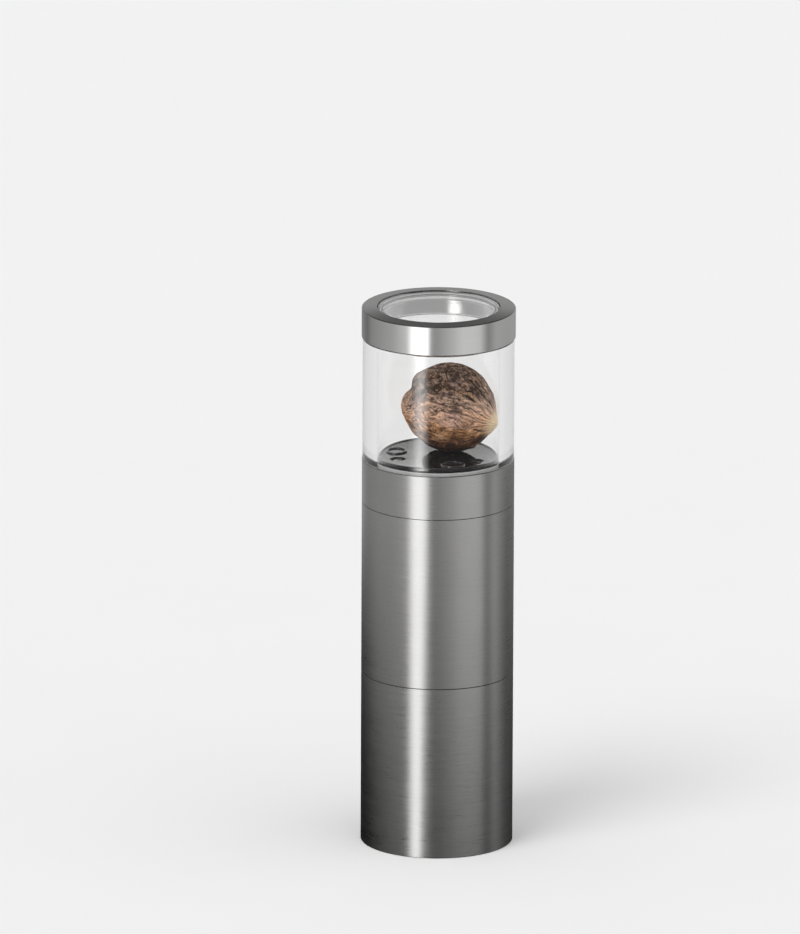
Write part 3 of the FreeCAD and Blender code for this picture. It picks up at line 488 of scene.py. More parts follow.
def nutmeg_shell():
    """Woody shell: mottled crown, crown and foot dark partly with painted shade, purple-grey flanks, tan
    belly, painted sheen, pale tip.
    """
    finish = Finish("nutmeg_shell")
    finish.shader.inputs["Specular IOR Level"].default_value = 0.01
    place = finish.attribute("shell_place", "Vector")
    split = finish.add("SeparateXYZ")
    finish.link(place, split.inputs[0])
    fibres = finish.stretch(finish.attribute("shell_flow", "Vector"), (0.22, 1.0, 1.0))
    cloud = finish.noise(place, 0.20, 3.0, 0.6)
    height = finish.math("ADD", split.outputs[2], finish.math("MULTIPLY", split.outputs[0], -0.06))
    height = finish.math("ADD", height, finish.remap(cloud, 0.25, 0.75, -4.5, 4.5))
    # Tones by height: the dark crown and foot are partly the shell's own tone and partly painted shade.
    tones_and_shade = finish.ramp(finish.remap(height, -12.0, 12.0, 0.0, 1.0), *SHELL_TONES_AND_SHADE)
    patches = finish.remap(finish.noise(fibres, 0.42, 2.0, 0.6), 0.52, 0.62, 0.0, 0.85)
    colour = finish.mix(patches, tones_and_shade, finish.mix(0.5, tones_and_shade, SHELL_PURPLE))
    warm = finish.remap(finish.noise(place, 0.38, 2.0, 0.6), 0.56, 0.68, 0.0, 0.75)
    colour = finish.mix(warm, colour, finish.mix(0.5, tones_and_shade, SHELL_WARM))
    # Painted sheen: a pale pink-grey highlight painted on the side of the shell that faces the front.
    painted_sheen = finish.remap(finish.attribute("painted_sheen"), 0.3, 0.9, 0.0, 0.75)
    colour = finish.mix(painted_sheen, colour, SHELL_PAINTED_SHEEN)
    streaks = finish.noise(fibres, 1.5, 3.0, 0.7)
    colour = finish.mix(0.95, colour, finish.ramp(streaks, *SHELL_STREAKS), "MULTIPLY")
    mottle = finish.remap(finish.noise(place, 0.80, 3.0, 0.65, 0.2), 0.46, 0.56, 0.0, 1.0)
    crown = finish.remap(height, 2.5, 7.5, 0.0, 0.82)
    colour = finish.mix(finish.math("MULTIPLY", mottle, crown), colour, SHELL_MOTTLE)
    pores = finish.noise(place, 3.2, 3.0, 0.65)
    colour = finish.mix(finish.remap(pores, 0.57, 0.66, 0.0, 0.85), colour, SHELL_SPECKS)
    # Wrinkles and furrows darkened: partly the shell's own dark lines, partly painted shade where the mesh
    # is cut into creases.
    wrinkle = finish.remap(finish.attribute("wrinkle"), 0.20, 0.9, 0.0, 0.85)
    colour = finish.mix(wrinkle, colour, SHELL_WRINKLE_TONE_AND_SHADE)
    furrow = finish.remap(finish.attribute("furrow"), 0.20, 0.80, 0.0, 0.88)
    colour = finish.mix(furrow, colour, SHELL_FURROW_TONE_AND_SHADE)
    tip = finish.remap(finish.attribute("tip"), 0.10, 0.60, 0.0, 0.97)
    colour = finish.mix(tip, colour, finish.ramp(streaks, *SHELL_TIP))
    finish.drive("Base Color", colour)
    finish.drive("Roughness", finish.remap(streaks, 0.3, 0.7, 0.80, 0.60))
    relief = finish.math("ADD", finish.math("MULTIPLY", streaks, 0.6), finish.math("MULTIPLY", pores, -0.4))
    finish.drive("Normal", finish.bump(relief, 0.4))
    return finish.material


def make_materials():
    """Builds every finish once, by the record's slot names."""
    cap_low, cap_high = node_mm("cap_ring")
    cap_bore = (cap_high[0] - BORE_INSET, cap_low[2], cap_high[2] - BORE_INSET)
    return {
        "brushed_steel": brushed_steel("brushed_steel", (0.59, 0.587, 0.58), 0.30, 0.80, 0.0022),
        "polished_steel": brushed_steel(
            "polished_steel", (0.72, 0.717, 0.71), 0.18, 0.60, 0.0002, 0.03, cap_bore),
        "blade_steel": plain_metal("blade_steel", (0.66, 0.65, 0.63), 0.22, 1.2, 0.002),
        "turned_steel": plain_metal("turned_steel", (0.62, 0.61, 0.60), 0.25, 3.0, 0.004),
        "spring_steel": plain_metal("spring_steel", (0.60, 0.59, 0.57), 0.30, 6.0, 0.002),
        "black_plastic": moulded_plastic("black_plastic", (0.016, 0.016, 0.017), 0.42, 0.008),
        "gloss_black": gloss_plastic("gloss_black", (0.010, 0.010, 0.011)),
        "bearing_plastic": moulded_plastic("bearing_plastic", (0.72, 0.70, 0.64), 0.45, 0.004),
        "silicone": soft_rubber("silicone", (0.10, 0.10, 0.105), 0.55, 0.0),
        "clear_silicone": soft_rubber("clear_silicone", (0.86, 0.87, 0.86), 0.30, 0.3),
        "nutmeg_shell": nutmeg_shell(),
        "clear_acrylic": clear_plastic("clear_acrylic", (0.997, 0.998, 0.997), 0.0),
    }


# ---- pieces ----
def make_sleeve(node, body, materials, foot=0.0, top=0.0):
    """One steel sleeve with rolled rims; at a seam the rim is crisper and reaches a little into the gap."""
    low, high = node_mm(node)
    outer, bore = high[0], high[0] - SLEEVE_WALL
    foot_edge, top_edge = [SEAM_EDGE if reach else RIM_EDGE for reach in (foot, top)]
    corners = (
        (bore, low[2] - foot, foot_edge), (outer, low[2] - foot, foot_edge),
        (outer, high[2] + top, top_edge), (bore, high[2] + top, top_edge),
    )
    piece = lathe(f"{node}_steel", corners)
    return stand_for(piece, node, body, materials["brushed_steel"])


def make_cap_ring(materials):
    """Steel cap ring: flat top, crisp rounded shoulder and a fine chamfer round the window."""
    low, high = node_mm("cap_ring")
    outer = high[0]
    bore, opening, under = outer - CAP_WALL, outer - CAP_LEDGE, high[2] - CAP_FLANGE
    corners = (
        (bore, low[2], 0.15), (outer, low[2], 0.2), (outer, high[2] - CAP_CONE, 0.28),
        (opening, high[2], 0.12), (opening, under, 0.1), (bore, under, 0.3),
    )
    piece = lathe("cap_ring_steel", corners)
    return stand_for(piece, "cap_ring", "lid", materials["polished_steel"])


def see_through(piece):
    """Lets lamps and soft light through a clear piece to what lies behind it."""
    piece.visible_shadow = piece.visible_diffuse = False
    return piece


def make_window(materials):
    """Clear window of the cap, with its flange and the skirt that plugs the jar."""
    low, high = node_mm("cap_window")
    jar_bore = node_mm("jar")[1][0] - JAR_WALL
    boss = node_mm("cap_ring")[1][0] - CAP_LEDGE - SEAT_PLAY
    skirt = jar_bore - SKIRT_PLAY
    skirt_bore = skirt - SKIRT_WALL
    flange_low = node_mm("cap_seal")[1][2] + SEAT_PLAY
    flange_top = flange_low + WINDOW_FLANGE
    underside = high[2] - WINDOW_GAUGE
    corners = (
        (0.0, underside), (skirt_bore, underside, 0.3), (skirt_bore, low[2], 0.15), (skirt, low[2], 0.15),
        (skirt, flange_low, 0.2), (high[0], flange_low, 0.15), (high[0], flange_top, 0.15),
        (boss, flange_top, 0.1), (boss, high[2], 0.3), (0.0, high[2]),
    )
    piece = see_through(lathe("cap_window_clear", corners))
    return stand_for(piece, "cap_window", "lid", materials["clear_acrylic"])


def make_jar(materials):
    """Thick clear tube with its stepped neck and foot."""
    low, high = node_mm("jar")
    outer, bore = high[0], high[0] - JAR_WALL
    neck, neck_low = outer - JAR_NECK_INSET, high[2] - JAR_NECK_HEIGHT
    foot, step = node_mm("jar_gasket")[1][0] + SEAT_PLAY, low[2] + JAR_SPIGOT_HEIGHT
    corners = (
        (bore, low[2], 0.2), (foot, low[2], 0.2), (foot, step), (outer, step, 0.15),
        (outer, neck_low, 0.2), (neck, neck_low), (neck, high[2], 0.3), (bore, high[2], 0.3),
    )
    piece = see_through(lathe("jar_clear", corners))
    return stand_for(piece, "jar", "storage_unit", materials["clear_acrylic"])


def make_rings(materials):
    """Seals, washers and bearing rings with softened edges."""
    for node, bore, body, slot, rounding in RINGS:
        low, high = node_mm(node)
        corners = [(radius, level, rounding) for radius, level in (
            (bore, low[2]), (high[0], low[2]), (high[0], high[2]), (bore, high[2]))]
        stand_for(lathe(f"{node}_turned", corners, RING_SEGMENTS), node, body, materials[slot])


def shift(piece, across, depth, height=0.0):
    """Moves a mesh by millimetres, so that its object stays at the origin."""
    piece.data.transform(Matrix.Translation(Vector((across, depth, height)) * MM))
    return piece


def carve(piece, tools, operation="DIFFERENCE"):
    """Cuts pieces out of another piece, or joins them to it, and removes them."""
    for tool in tools:
        step = piece.modifiers.new("carve", "BOOLEAN")
        step.operation, step.solver, step.object = operation, "EXACT", tool
    graph = bpy.context.evaluated_depsgraph_get()
    graph.update()
    mesh = bpy.data.meshes.new_from_object(piece.evaluated_get(graph))
    piece.modifiers.clear()
    piece.data = mesh
    for tool in tools:
        bpy.data.objects.remove(tool)
    return piece


def soften(piece, width, angle=30.0):
    """Rounds the crisp edges of a piece and shades the rest smooth."""
    mesh = piece.data
    if "custom_normal" in mesh.attributes:
        mesh.attributes.remove(mesh.attributes["custom_normal"])
    mesh.polygons.foreach_set("use_smooth", [True] * len(mesh.polygons))
    bevel = piece.modifiers.new("soft_edges", "BEVEL")
    bevel.width, bevel.segments = width * MM, 3
    bevel.limit_method, bevel.angle_limit = "ANGLE", math.radians(angle)
    bevel.harden_normals = True
    return piece


def round_spots(turn, count=3):
    """Places on the circle of the screw posts, evenly spaced from an angle."""
    for index in range(count):
        angle = math.radians(turn + 360.0 * index / count)
        yield POST_CIRCLE * math.cos(angle), POST_CIRCLE * math.sin(angle)


def make_floor_plate(materials):
    """Glossy black floor of the jar with its ring bosses and screw recesses."""
    low, high = node_mm("floor_plate")
    top = high[2] - BOSS_HEIGHT
    hub, ledge = high[0] - PLATE_REACH, top - PLATE_FLANGE
    plate = lathe("floor_plate_gloss", (
        (0.0, low[2]), (hub, low[2], 0.2), (hub, ledge), (high[0], ledge, 0.2),
        (high[0], top + BEAD_HEIGHT, 0.25), (high[0] - BEAD_WIDTH, top + BEAD_HEIGHT, 0.12),
        (high[0] - BEAD_WIDTH - BEAD_SLOPE, top, 0.1), (0.0, top),
    ))
    floor, mouth = top - RECESS_DEPTH, top + CUT_MARGIN
    recess = ((0.0, floor), (RECESS_RADIUS, floor), (RECESS_RADIUS, mouth), (0.0, mouth))
    recesses = [shift(lathe("recess", recess, SMALL_SEGMENTS), *spot) for spot in round_spots(SCREW_TURN)]
    carve(plate, recesses)
    root, crest = top - BOSS_ROOT, high[2]
    boss = ((BOSS_BORE, root), (BOSS_RADIUS, root), (BOSS_RADIUS, crest, 0.3), (BOSS_BORE, crest, 0.3))
    bosses = [shift(lathe("boss", boss, SMALL_SEGMENTS), *spot) for spot in round_spots(BOSS_TURN)]
    carve(plate, bosses, "UNION")
    soften(plate, 0.10)
    return stand_for(plate, "floor_plate", "storage_unit", materials["gloss_black"])


def make_floor_screws(materials):
    """Three slotted screws with domed heads, in their recesses."""
    low, high = node_mm("floor_screws")
    seat, top, radius = high[2] - SCREW_HEAD_HEIGHT, high[2], SCREW_HEAD_RADIUS
    slot_turn = Matrix.Rotation(math.radians(SCREW_TURN + SLOT_TURN), 4, "Z")
    slot_size = Matrix.Diagonal((SLOT_LENGTH * MM, SLOT_WIDTH * MM, MM, 1.0))
    slot_place = slot_turn @ Matrix.Translation((0, 0, (top - SLOT_DEPTH + 0.5) * MM)) @ slot_size
    mesh = bpy.data.meshes.new("floor_screws_steel")
    built = bmesh.new()
    for spot in round_spots(SCREW_TURN):
        screw = lathe("screw", (
            (0.0, low[2]), (SCREW_SHANK, low[2], 0.2), (SCREW_SHANK, seat), (radius, seat, 0.1),
            (radius, seat + 0.25, 0.3), (radius * 0.86, seat + 0.62, 0.8), (radius * 0.5, top - 0.1, 1.0),
            (0.0, top),
        ), SMALL_SEGMENTS)
        slot_mesh = bpy.data.meshes.new("slot")
        box = bmesh.new()
        bmesh.ops.create_cube(box, size=1.0)
        box.transform(slot_place)
        box.to_mesh(slot_mesh)
        box.free()
        carve(screw, [add_object("slot", slot_mesh)])
        shift(screw, *spot)
        built.from_mesh(screw.data)
        bpy.data.objects.remove(screw)
    built.to_mesh(mesh)
    built.free()
    screws = soften(add_object("floor_screws_steel", mesh), 0.05)
    return stand_for(screws, "floor_screws", "storage_unit", materials["turned_steel"])


def make_spring(materials):
    """Compression spring with closed ends."""
    low, high = node_mm("press_spring")
    radius = high[0] - SPRING_WIRE
    foot, head = low[2] + SPRING_WIRE, high[2] - SPRING_WIRE
    turns = (head - foot) / SPRING_PITCH + SPRING_CLOSED_TURNS
    steps, around = int(turns * SPRING_STEPS), SPRING_SIDES
    closed = 1.0 / turns
    verts, faces = [], []
    for step in range(steps + 1):
        share = step / steps
        eased = min(max((share - closed * 0.5) / (1 - closed), 0.0), 1.0)
        blend = eased * eased * (3 - 2 * eased)
        rise = foot + (head - foot) * (SPRING_EVEN * eased + SPRING_EASED * blend)
        angle = 2 * math.pi * turns * share
        for side in range(around):
            spin = 2 * math.pi * side / around
            reach = radius + SPRING_WIRE * math.cos(spin)
            verts.append((reach * math.cos(angle) * MM, reach * math.sin(angle) * MM,
                          (rise + SPRING_WIRE * math.sin(spin)) * MM))
        if step:
            first, second = (step - 1) * around, step * around
            for side in range(around):
                after = (side + 1) % around
                faces.append((first + side, second + side, second + after, first + after))
    faces.append(tuple(range(around)))
    faces.append(tuple(reversed(range(steps * around, (steps + 1) * around))))
    mesh = bpy.data.meshes.new("press_spring_wire")
    mesh.from_pydata(verts, [], faces)
    mesh.polygons.foreach_set("use_smooth", [True] * len(mesh.polygons))
    piece = add_object("press_spring_wire", mesh)
    stand_for(piece, "press_spring", "storage_unit", materials["spring_steel"])
    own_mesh(piece)
    return piece


# ---- nutmeg ----
TIP_DIRECTION = Vector((1.0, -0.20, -0.22)).normalized()
FLOW_SIDE = TIP_DIRECTION.orthogonal().normalized()
FLOW_UP = TIP_DIRECTION.cross(FLOW_SIDE)
SHOULDER = Vector((0.60, -0.55, 0.58)).normalized()
# Direction of the painted sheen, on the side of the shell that faces the front.
PAINTED_SHEEN_TOWARD = Vector((0.28, -0.95, -0.02)).normalized()
# Broad swellings and dents: direction, how far they reach and their height in millimetres.
# The first five run together into the groove at the upper left.
LOBES = (
    ((-0.57, -0.72, 0.38), 0.16, -0.7),
    ((-0.74, -0.54, 0.40), 0.16, -0.9),
    ((-0.83, -0.30, 0.42), 0.16, -1.1),
    ((-0.88, -0.04, 0.42), 0.16, -0.9),
    ((-0.86, 0.22, 0.40), 0.16, -0.7),
    ((-0.60, -0.30, 0.72), 0.26, 0.60),
    ((-0.94, -0.34, 0.08), 0.24, 0.45),
    ((-0.10, -0.20, 1.00), 0.50, 0.50),
    ((-0.35, -0.75, -0.70), 0.45, -0.55),
    ((0.35, -0.75, -0.75), 0.45, -0.50),
    ((0.80, -0.20, 0.62), 0.30, -0.30),
)
LOBES = tuple((Vector(toward).normalized(), reach, rise) for toward, reach, rise in LOBES)
# Long creases that run to the tip. A width and a wander are shares of the nut's radius; a crease is at full
# depth along the first share of its half length and fades over the second.
CREASE_WIDTH, CREASE_WANDER = 0.035, 0.05
CREASE_FULL, CREASE_FADE = 0.7, 0.3
# Where they start and end.
CREASES = (
    ((0.446, -0.364, 0.817), (0.977, -0.218, 0.006)),
    ((0.656, -0.700, -0.280), (0.930, -0.060, -0.360)),
)
CREASES = tuple((Vector(start).normalized(), Vector(end).normalized()) for start, end in CREASES)


def crease(point, width):
    """Depth of a network of narrow creases at a point, from 0 between them to 1 in them."""
    return math.exp(-(noise.noise(point) / width) ** 2)


def stretch(place, along, across, start=0.0):
    """A place in the flow's frame, scaled along its lines and across them."""
    return Vector((place.x * along + start, place.y * across, place.z * across))


def drift(place, scale, start=0.0):
    """A smooth random shift of a place, about one unit long."""
    return Vector([noise.noise(place * scale + Vector((lead, start, lead))) for lead in (0.0, 9.0, 17.0)])


def near(direction, toward, reach):
    """Nearness of two directions, from 1 where they meet to 0."""
    return math.exp(-((direction - toward).length / reach) ** 2)


def long_crease(direction, start, end, wobble):
    """Depth of one long crease at a direction, from 0 beside it to 1 in it; its ends are shallow."""
    across = direction.dot(start.cross(end).normalized()) + CREASE_WANDER * wobble
    middle, reach = (start + end).normalized(), start.angle(end) / 2
    beyond = max(0.0, direction.angle(middle) / reach - CREASE_FULL) / CREASE_FADE
    return math.exp(-(across / CREASE_WIDTH) ** 2) * math.exp(-beyond ** 2)


def nutmeg_point(direction):
    """One point of the shell.

    Returns its place, its place in the flow of the fibres, the depth of its furrows and of its wrinkles,
    and how near it is to the pale tip and to the painted sheen on its front."""
    body = Vector([axis * part for axis, part in zip(NUTMEG_AXES, direction)])
    normal = Vector([part / axis for axis, part in zip(NUTMEG_AXES, direction)]).normalized()
    along = direction.dot(TIP_DIRECTION)
    side, up = direction.dot(FLOW_SIDE), direction.dot(FLOW_UP)
    across = max(math.hypot(side, up), 1e-4)
    loose = 1.0 + 1.2 * max(0.0, 0.45 - along)
    warp = drift(body, 0.13) * 1.6 + drift(body, 0.42, 5.0) * 0.75
    flow = Vector((12.0 * along, 11.0 * side / across, 11.0 * up / across)) + warp * loose
    patch = 0.45 + 1.6 * noise.noise(body * 0.16 + Vector((4, 2, 8))) + 0.4 * near(direction, SHOULDER, 0.5)
    furrow = crease(stretch(flow, 0.060, 0.46, 3.0), 0.06) * min(max(patch, 0.10), 1.0)
    wobble = noise.noise(body * 0.3)
    furrow = max(furrow, *(long_crease(direction, start, end, wobble) for start, end in CREASES))
    wrinkle = crease(stretch(flow, 0.17, 0.90, 7.0), 0.075)
    thread = noise.noise(stretch(flow, 0.35, 2.1))
    tip = near(direction, TIP_DIRECTION, 0.25)
    # Nearness to the painted sheen; the wrinkles are drawn fainter there.
    painted_sheen = near(direction, PAINTED_SHEEN_TOWARD, 0.26)
    swell = 0.35 * noise.noise(body * 0.11 + Vector((2, 7, 1))) + 0.22 * noise.noise(body * 0.34)
    for toward, reach, rise in LOBES:
        swell += rise * near(direction, toward, reach)
    plain = 1.0 - 0.8 * tip
    cuts = FURROW_DEPTH * furrow + WRINKLE_DEPTH * wrinkle
    relief = 0.06 * thread + 0.07 * noise.noise(body * 1.2) - plain * cuts
    place = body + normal * (swell + relief) + TIP_DIRECTION * NUTMEG_TIP * tip
    return place, flow, furrow * plain, wrinkle * plain * (1.0 - 0.7 * painted_sheen), tip, painted_sheen


def make_nutmeg(materials):
    """Whole nutmeg: an egg with a groove at its upper left, lengthwise furrows and a pale pointed tip."""
    low, high = node_mm("nutmeg")
    centre = Vector((low + high) / 2)
    built = bmesh.new()
    bmesh.ops.create_icosphere(built, subdivisions=7, radius=1.0)
    spots = [nutmeg_point(vertex.co.normalized()) for vertex in built.verts]
    turn = Matrix.Rotation(math.radians(NUTMEG_TURN), 3, "Z")
    for vertex, spot in zip(built.verts, spots):
        vertex.co = (centre + turn @ spot[0]) * MM
    mesh = bpy.data.meshes.new("nutmeg_shell")
    built.to_mesh(mesh)
    built.free()
    mesh.polygons.foreach_set("use_smooth", [True] * len(mesh.polygons))
    for index, name in enumerate(("shell_place", "shell_flow")):
        layer = mesh.attributes.new(name, "FLOAT_VECTOR", "POINT")
        layer.data.foreach_set("vector", [value for spot in spots for value in spot[index]])
    for index, name in enumerate(("furrow", "wrinkle", "tip", "painted_sheen"), 2):
        layer = mesh.attributes.new(name, "FLOAT", "POINT")
        layer.data.foreach_set("value", [spot[index] for spot in spots])
    piece = add_object("nutmeg_shell", mesh)
    return stand_for(piece, "nutmeg", "storage_unit", materials["nutmeg_shell"])


# ---- studio ----
def add_camera():
    """Camera at the photograph's viewing angle, with its slight roll."""
    data = bpy.data.cameras.new("camera")
    data.lens, data.sensor_width = CAMERA_LENS, CAMERA_SENSOR
    data.clip_start, data.clip_end = CAMERA_CLIP
    camera = bpy.data.objects.new("camera", data)
    bpy.context.scene.collection.objects.link(camera)
    elevation = math.radians(CAMERA_ELEVATION)
    back = Vector((0.0, -math.cos(elevation), math.sin(elevation)))
    distance = IMAGE_SIZE[1] / PIXELS_PER_MM * CAMERA_LENS / CAMERA_SENSOR
    place = Matrix.Translation((Vector(CAMERA_TARGET) + back * distance) * MM)
    tilt = Matrix.Rotation(math.pi / 2 - elevation, 4, "X")
    roll = Matrix.Rotation(math.radians(CAMERA_ROLL), 4, "Z")
    camera.matrix_world = place @ tilt @ roll
    bpy.context.scene.camera = camera


def add_world():
    """Even pale surroundings: camera, mirror and glass rays see the backdrop, the rest soft light."""
    world = bpy.data.worlds.new("studio")
    bpy.context.scene.world = world
    world.use_nodes = True
    tree = world.node_tree
    tree.nodes.clear()
    path = tree.nodes.new("ShaderNodeLightPath")
    seen = path.outputs["Is Camera Ray"]
    for name in ("Is Glossy Ray", "Is Transmission Ray"):
        either = tree.nodes.new("ShaderNodeMath")
        either.operation = "MAXIMUM"
        tree.links.new(seen, either.inputs[0])
        tree.links.new(path.outputs[name], either.inputs[1])
        seen = either.outputs[0]
    mix = tree.nodes.new("ShaderNodeMixShader")
    tree.links.new(seen, mix.inputs[0])
    for index, level in enumerate((AMBIENT_LEVEL, BACKDROP_LEVEL), 1):
        background = tree.nodes.new("ShaderNodeBackground")
        background.inputs["Color"].default_value = (level, level, level, 1.0)
        tree.links.new(background.outputs[0], mix.inputs[index])
    output = tree.nodes.new("ShaderNodeOutputWorld")
    tree.links.new(mix.outputs[0], output.inputs["Surface"])


def add_floor():
    """A wide pale floor that takes the mill's shadow."""
    rim = [(math.cos(2 * math.pi * step / FLOOR_SIDES) * FLOOR_RADIUS * MM,
            math.sin(2 * math.pi * step / FLOOR_SIDES) * FLOOR_RADIUS * MM,
            -FLOOR_DROP * MM) for step in range(FLOOR_SIDES)]
    mesh = bpy.data.meshes.new("floor")
    mesh.from_pydata(rim, [], [tuple(range(FLOOR_SIDES))])
    floor = add_object("floor", mesh)
    finish = Finish("floor_paper", Roughness=1.0)
    finish.shader.inputs["Specular IOR Level"].default_value = 0.0
    dark, pale = [(tone, tone, tone) for tone in FLOOR_TONES]
    grain = finish.noise(finish.place(), 0.02, 2.0)
    finish.drive("Base Color", finish.ramp(grain, (0.3, dark), (0.7, pale)))
    mesh.materials.append(finish.material)
    floor.visible_glossy = False


def add_sun(name, azimuth, elevation, share, spread):
    """A far lamp that adds its share of the plain light level to a level floor."""
    data = bpy.data.lights.new(name, "SUN")
    data.energy = share * math.pi / math.sin(math.radians(elevation))
    data.angle = math.radians(spread)
    lamp = bpy.data.objects.new(name, data)
    bpy.context.scene.collection.objects.link(lamp)
    tilt = Matrix.Rotation(math.radians(90 - elevation), 4, "X")
    turn = Matrix.Rotation(math.radians(azimuth), 4, "Z")
    lamp.matrix_world = turn @ tilt


# Light and dark round the mill, by azimuth from its front, with the photograph's left negative: low down,
# where the sleeves mirror it, and higher up, where the cap does. Within CAP_BLEND one passes into the other.
SLEEVE_LIGHT = (
    (-180, 0.32), (-150, 0.46), (-128, 0.44), (-98, 0.52), (-58, 0.46), (-46, 0.44), (-16, 0.40),
    (-4, 0.37), (6, 0.48), (20, 0.61), (35, 0.79), (50, 0.82), (66, 0.80), (72, 0.48), (77, 0.31),
    (92, 0.54), (104, 0.31), (122, 0.12), (142, 0.14), (160, 0.16), (180, 0.22),
)
CAP_LIGHT = (
    (-180, 0.30), (-150, 0.25), (-130, 0.16), (-118, 0.28), (-98, 0.34), (-70, 0.44), (-58, 0.57),
    (-46, 0.72), (-16, 0.44), (-4, 0.34), (6, 0.44), (20, 0.56), (35, 0.72), (50, 0.70), (62, 0.66),
    (72, 0.38), (77, 0.26), (92, 0.44), (104, 0.44), (122, 0.42), (142, 0.40), (160, 0.34), (180, 0.30),
)
CAP_BLEND = (38.0, 62.0)
# How fast the side light fades towards the floor, by azimuth, and below which height it starts to.
FADE_LENGTHS = (
    (-180, 9), (-128, 9), (-98, 17), (-65, 36), (-30, 32), (-3, 25), (20, 34), (50, 38), (85, 34),
    (104, 80), (128, 80), (145, 40), (180, 40),
)
FADE_TOPS = ((-180, 20), (-128, 20), (-98, 12), (-65, 8), (180, 8))
# One narrow bright strip: two heights, and for each the azimuths of its edges and its level.
STRIP_HEIGHTS = (-60.0, 30.0)
STRIP_LEFT, STRIP_LEFT_SOFT = (-38.5, -42.0), 5.0
STRIP_RIGHT, STRIP_RIGHT_SOFT = (-24.5, -14.0), 2.5
STRIP_LEVELS = (1.45, 1.75)
# What flat rims mirror: bright low at the back, dark above.
BACK_LIGHT = ((165, 0.34), (190, 0.33), (214, 0.35), (222, 0.26), (232, 0.14), (245, 0.08), (300, 0.05))
TOP_LEVEL = 0.06
BACK_BLEND = (90, 130)
# What perfectly smooth surfaces, the clear ones, mirror: one soft box, and pale surroundings behind.
CLEAR_LIGHT = (
    (-180, 0.68), (-150, 0.73), (-125, 0.80), (-95, 0.45), (-60, 0.15), (-46, 0.15), (-37, 2.2),
    (-31, 4.6), (-27, 4.6), (-19, 1.7), (-14, 0.14), (60, 0.14), (95, 0.45), (125, 0.80), (150, 0.71),
    (180, 0.68),
)
# The wrap's profile, as radius and height.
WRAP_PROFILE = (
    (0, WRAP_FOOT), (WRAP_RADIUS, WRAP_FOOT),
    *((WRAP_RADIUS, height) for height in range(-260, RIM_LIGHT_FOOT, 10)),
    *((WRAP_RADIUS, height) for height in (165, 190, 205, 214, 222, 232, 245)),
    (WRAP_RADIUS, 300), (150, 380), (0, 420),
)


def by_angle(azimuth, stops):
    """Reads a table of (azimuth, level) stops."""
    return float(np.interp(azimuth, *zip(*stops)))


def strip_share(azimuth, height):
    """How much of the bright strip lies at a place of the wrap, from 0 to 1."""
    left = float(np.interp(height, STRIP_HEIGHTS, STRIP_LEFT))
    right = float(np.interp(height, STRIP_HEIGHTS, STRIP_RIGHT))
    edges = (left - STRIP_LEFT_SOFT, left + STRIP_LEFT_SOFT,
             right - STRIP_RIGHT_SOFT, right + STRIP_RIGHT_SOFT)
    return float(np.interp(azimuth, edges, (0.0, 1.0, 1.0, 0.0)))


def wrap_level(azimuth, height):
    """Brightness that brushed metal mirrors: it fades towards the floor, but for one strip."""
    if height > RIM_LIGHT_FOOT:
        behind = float(np.interp(abs(azimuth), BACK_BLEND, (0, 1)))
        return TOP_LEVEL + behind * (float(np.interp(height, *zip(*BACK_LIGHT))) - TOP_LEVEL)
    high = float(np.interp(height, CAP_BLEND, (0.0, 1.0)))
    side = by_angle(azimuth, SLEEVE_LIGHT) * (1 - high) + by_angle(azimuth, CAP_LIGHT) * high
    below = min(height - by_angle(azimuth, FADE_TOPS), 0.0)
    fade = math.exp(below / by_angle(azimuth, FADE_LENGTHS))
    strip = strip_share(azimuth, height)
    glow = float(np.interp(height, STRIP_HEIGHTS, STRIP_LEVELS))
    return side * fade * (1 - strip) + strip * glow


def add_wrap():
    """A closed shell of soft light and shade that only mirrors see."""
    points, metal_levels, clear_levels, faces = [], [], [], []
    for column in range(WRAP_COLUMNS + 1):
        azimuth = -180.0 + 360.0 * column / WRAP_COLUMNS
        across, depth = math.sin(math.radians(azimuth)), -math.cos(math.radians(azimuth))
        for radius, height in WRAP_PROFILE:
            points.append((across * radius * MM, depth * radius * MM, height * MM))
            metal_levels.append(wrap_level(azimuth, height))
            clear_levels.append(by_angle(azimuth, CLEAR_LIGHT))
    rows = len(WRAP_PROFILE)
    for column in range(WRAP_COLUMNS):
        for row in range(rows - 1):
            first = column * rows + row
            faces.append((first, first + rows, first + rows + 1, first + 1))
    mesh = bpy.data.meshes.new("light_wrap")
    mesh.from_pydata(points, [], faces)
    for name, levels in (("metal_level", metal_levels), ("clear_level", clear_levels)):
        mesh.attributes.new(name, "FLOAT", "POINT").data.foreach_set("value", levels)
    mesh.materials.append(wrap_light())
    wrap = add_object("light_wrap", mesh)
    wrap.visible_camera = wrap.visible_diffuse = False
    wrap.visible_shadow = wrap.visible_volume_scatter = False


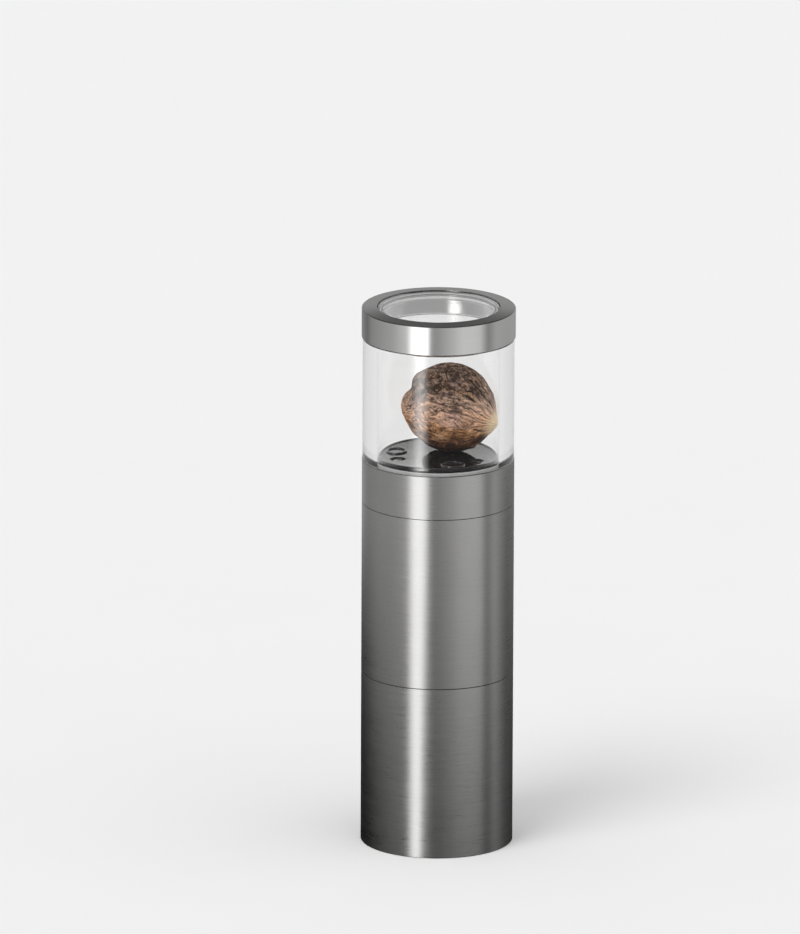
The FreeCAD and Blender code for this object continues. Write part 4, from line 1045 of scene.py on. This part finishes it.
def wrap_light():
    """Light of the wrap: one level for brushed metal, another for perfectly smooth surfaces.

    It isn't there for light that only passes through the clear pieces."""
    material = bpy.data.materials.new("light_wrap")
    material.use_nodes = True
    tree = material.node_tree
    tree.nodes.clear()
    level = tree.nodes.new("ShaderNodeMix")
    path = tree.nodes.new("ShaderNodeLightPath")
    tree.links.new(path.outputs["Is Singular Ray"], level.inputs["Factor"])
    for name, socket in (("metal_level", "A"), ("clear_level", "B")):
        attribute = tree.nodes.new("ShaderNodeAttribute")
        attribute.attribute_name = name
        tree.links.new(attribute.outputs["Fac"], level.inputs[socket])
    emission = tree.nodes.new("ShaderNodeEmission")
    tree.links.new(level.outputs["Result"], emission.inputs["Strength"])
    unmirrored = tree.nodes.new("ShaderNodeMath")
    unmirrored.operation = "LESS_THAN"
    unmirrored.inputs[1].default_value = 0.5
    tree.links.new(path.outputs["Glossy Depth"], unmirrored.inputs[0])
    passing = tree.nodes.new("ShaderNodeMath")
    passing.operation = "MULTIPLY"
    tree.links.new(unmirrored.outputs[0], passing.inputs[0])
    tree.links.new(path.outputs["Is Transmission Ray"], passing.inputs[1])
    mix = tree.nodes.new("ShaderNodeMixShader")
    tree.links.new(passing.outputs[0], mix.inputs[0])
    tree.links.new(emission.outputs[0], mix.inputs[1])
    tree.links.new(tree.nodes.new("ShaderNodeBsdfTransparent").outputs[0], mix.inputs[2])
    output = tree.nodes.new("ShaderNodeOutputMaterial")
    tree.links.new(mix.outputs[0], output.inputs["Surface"])
    return material


def add_studio():
    """Backdrop, floor, lamps and the surroundings that the steel and the acrylic mirror."""
    add_world()
    add_floor()
    for name, settings in LAMPS.items():
        add_sun(name, *settings)
    add_wrap()


# ---- assembly ----
def dress_nodes(materials):
    """Gives every node that stays its finish, by the slot that the record names."""
    for node in nodes.values():
        for index, material in enumerate(node.data.materials):
            slot = material.name.split(".")[0]
            if slot in materials:
                node.data.materials[index] = materials[slot]


bpy.context.scene.view_settings.view_transform = "Standard"
add_camera()
add_studio()
materials = make_materials()
dress_nodes(materials)
make_sleeve("lower_sleeve", "grinder_head", materials, top=SEAM_REACH)
make_sleeve("middle_sleeve", "mill_body", materials, foot=SEAM_REACH, top=SEAM_REACH)
make_sleeve("collar_sleeve", "storage_unit", materials, foot=SEAM_REACH)
make_cap_ring(materials)
make_window(materials)
make_jar(materials)
make_rings(materials)
make_floor_plate(materials)
make_floor_screws(materials)
make_nutmeg(materials)
make_spring(materials)
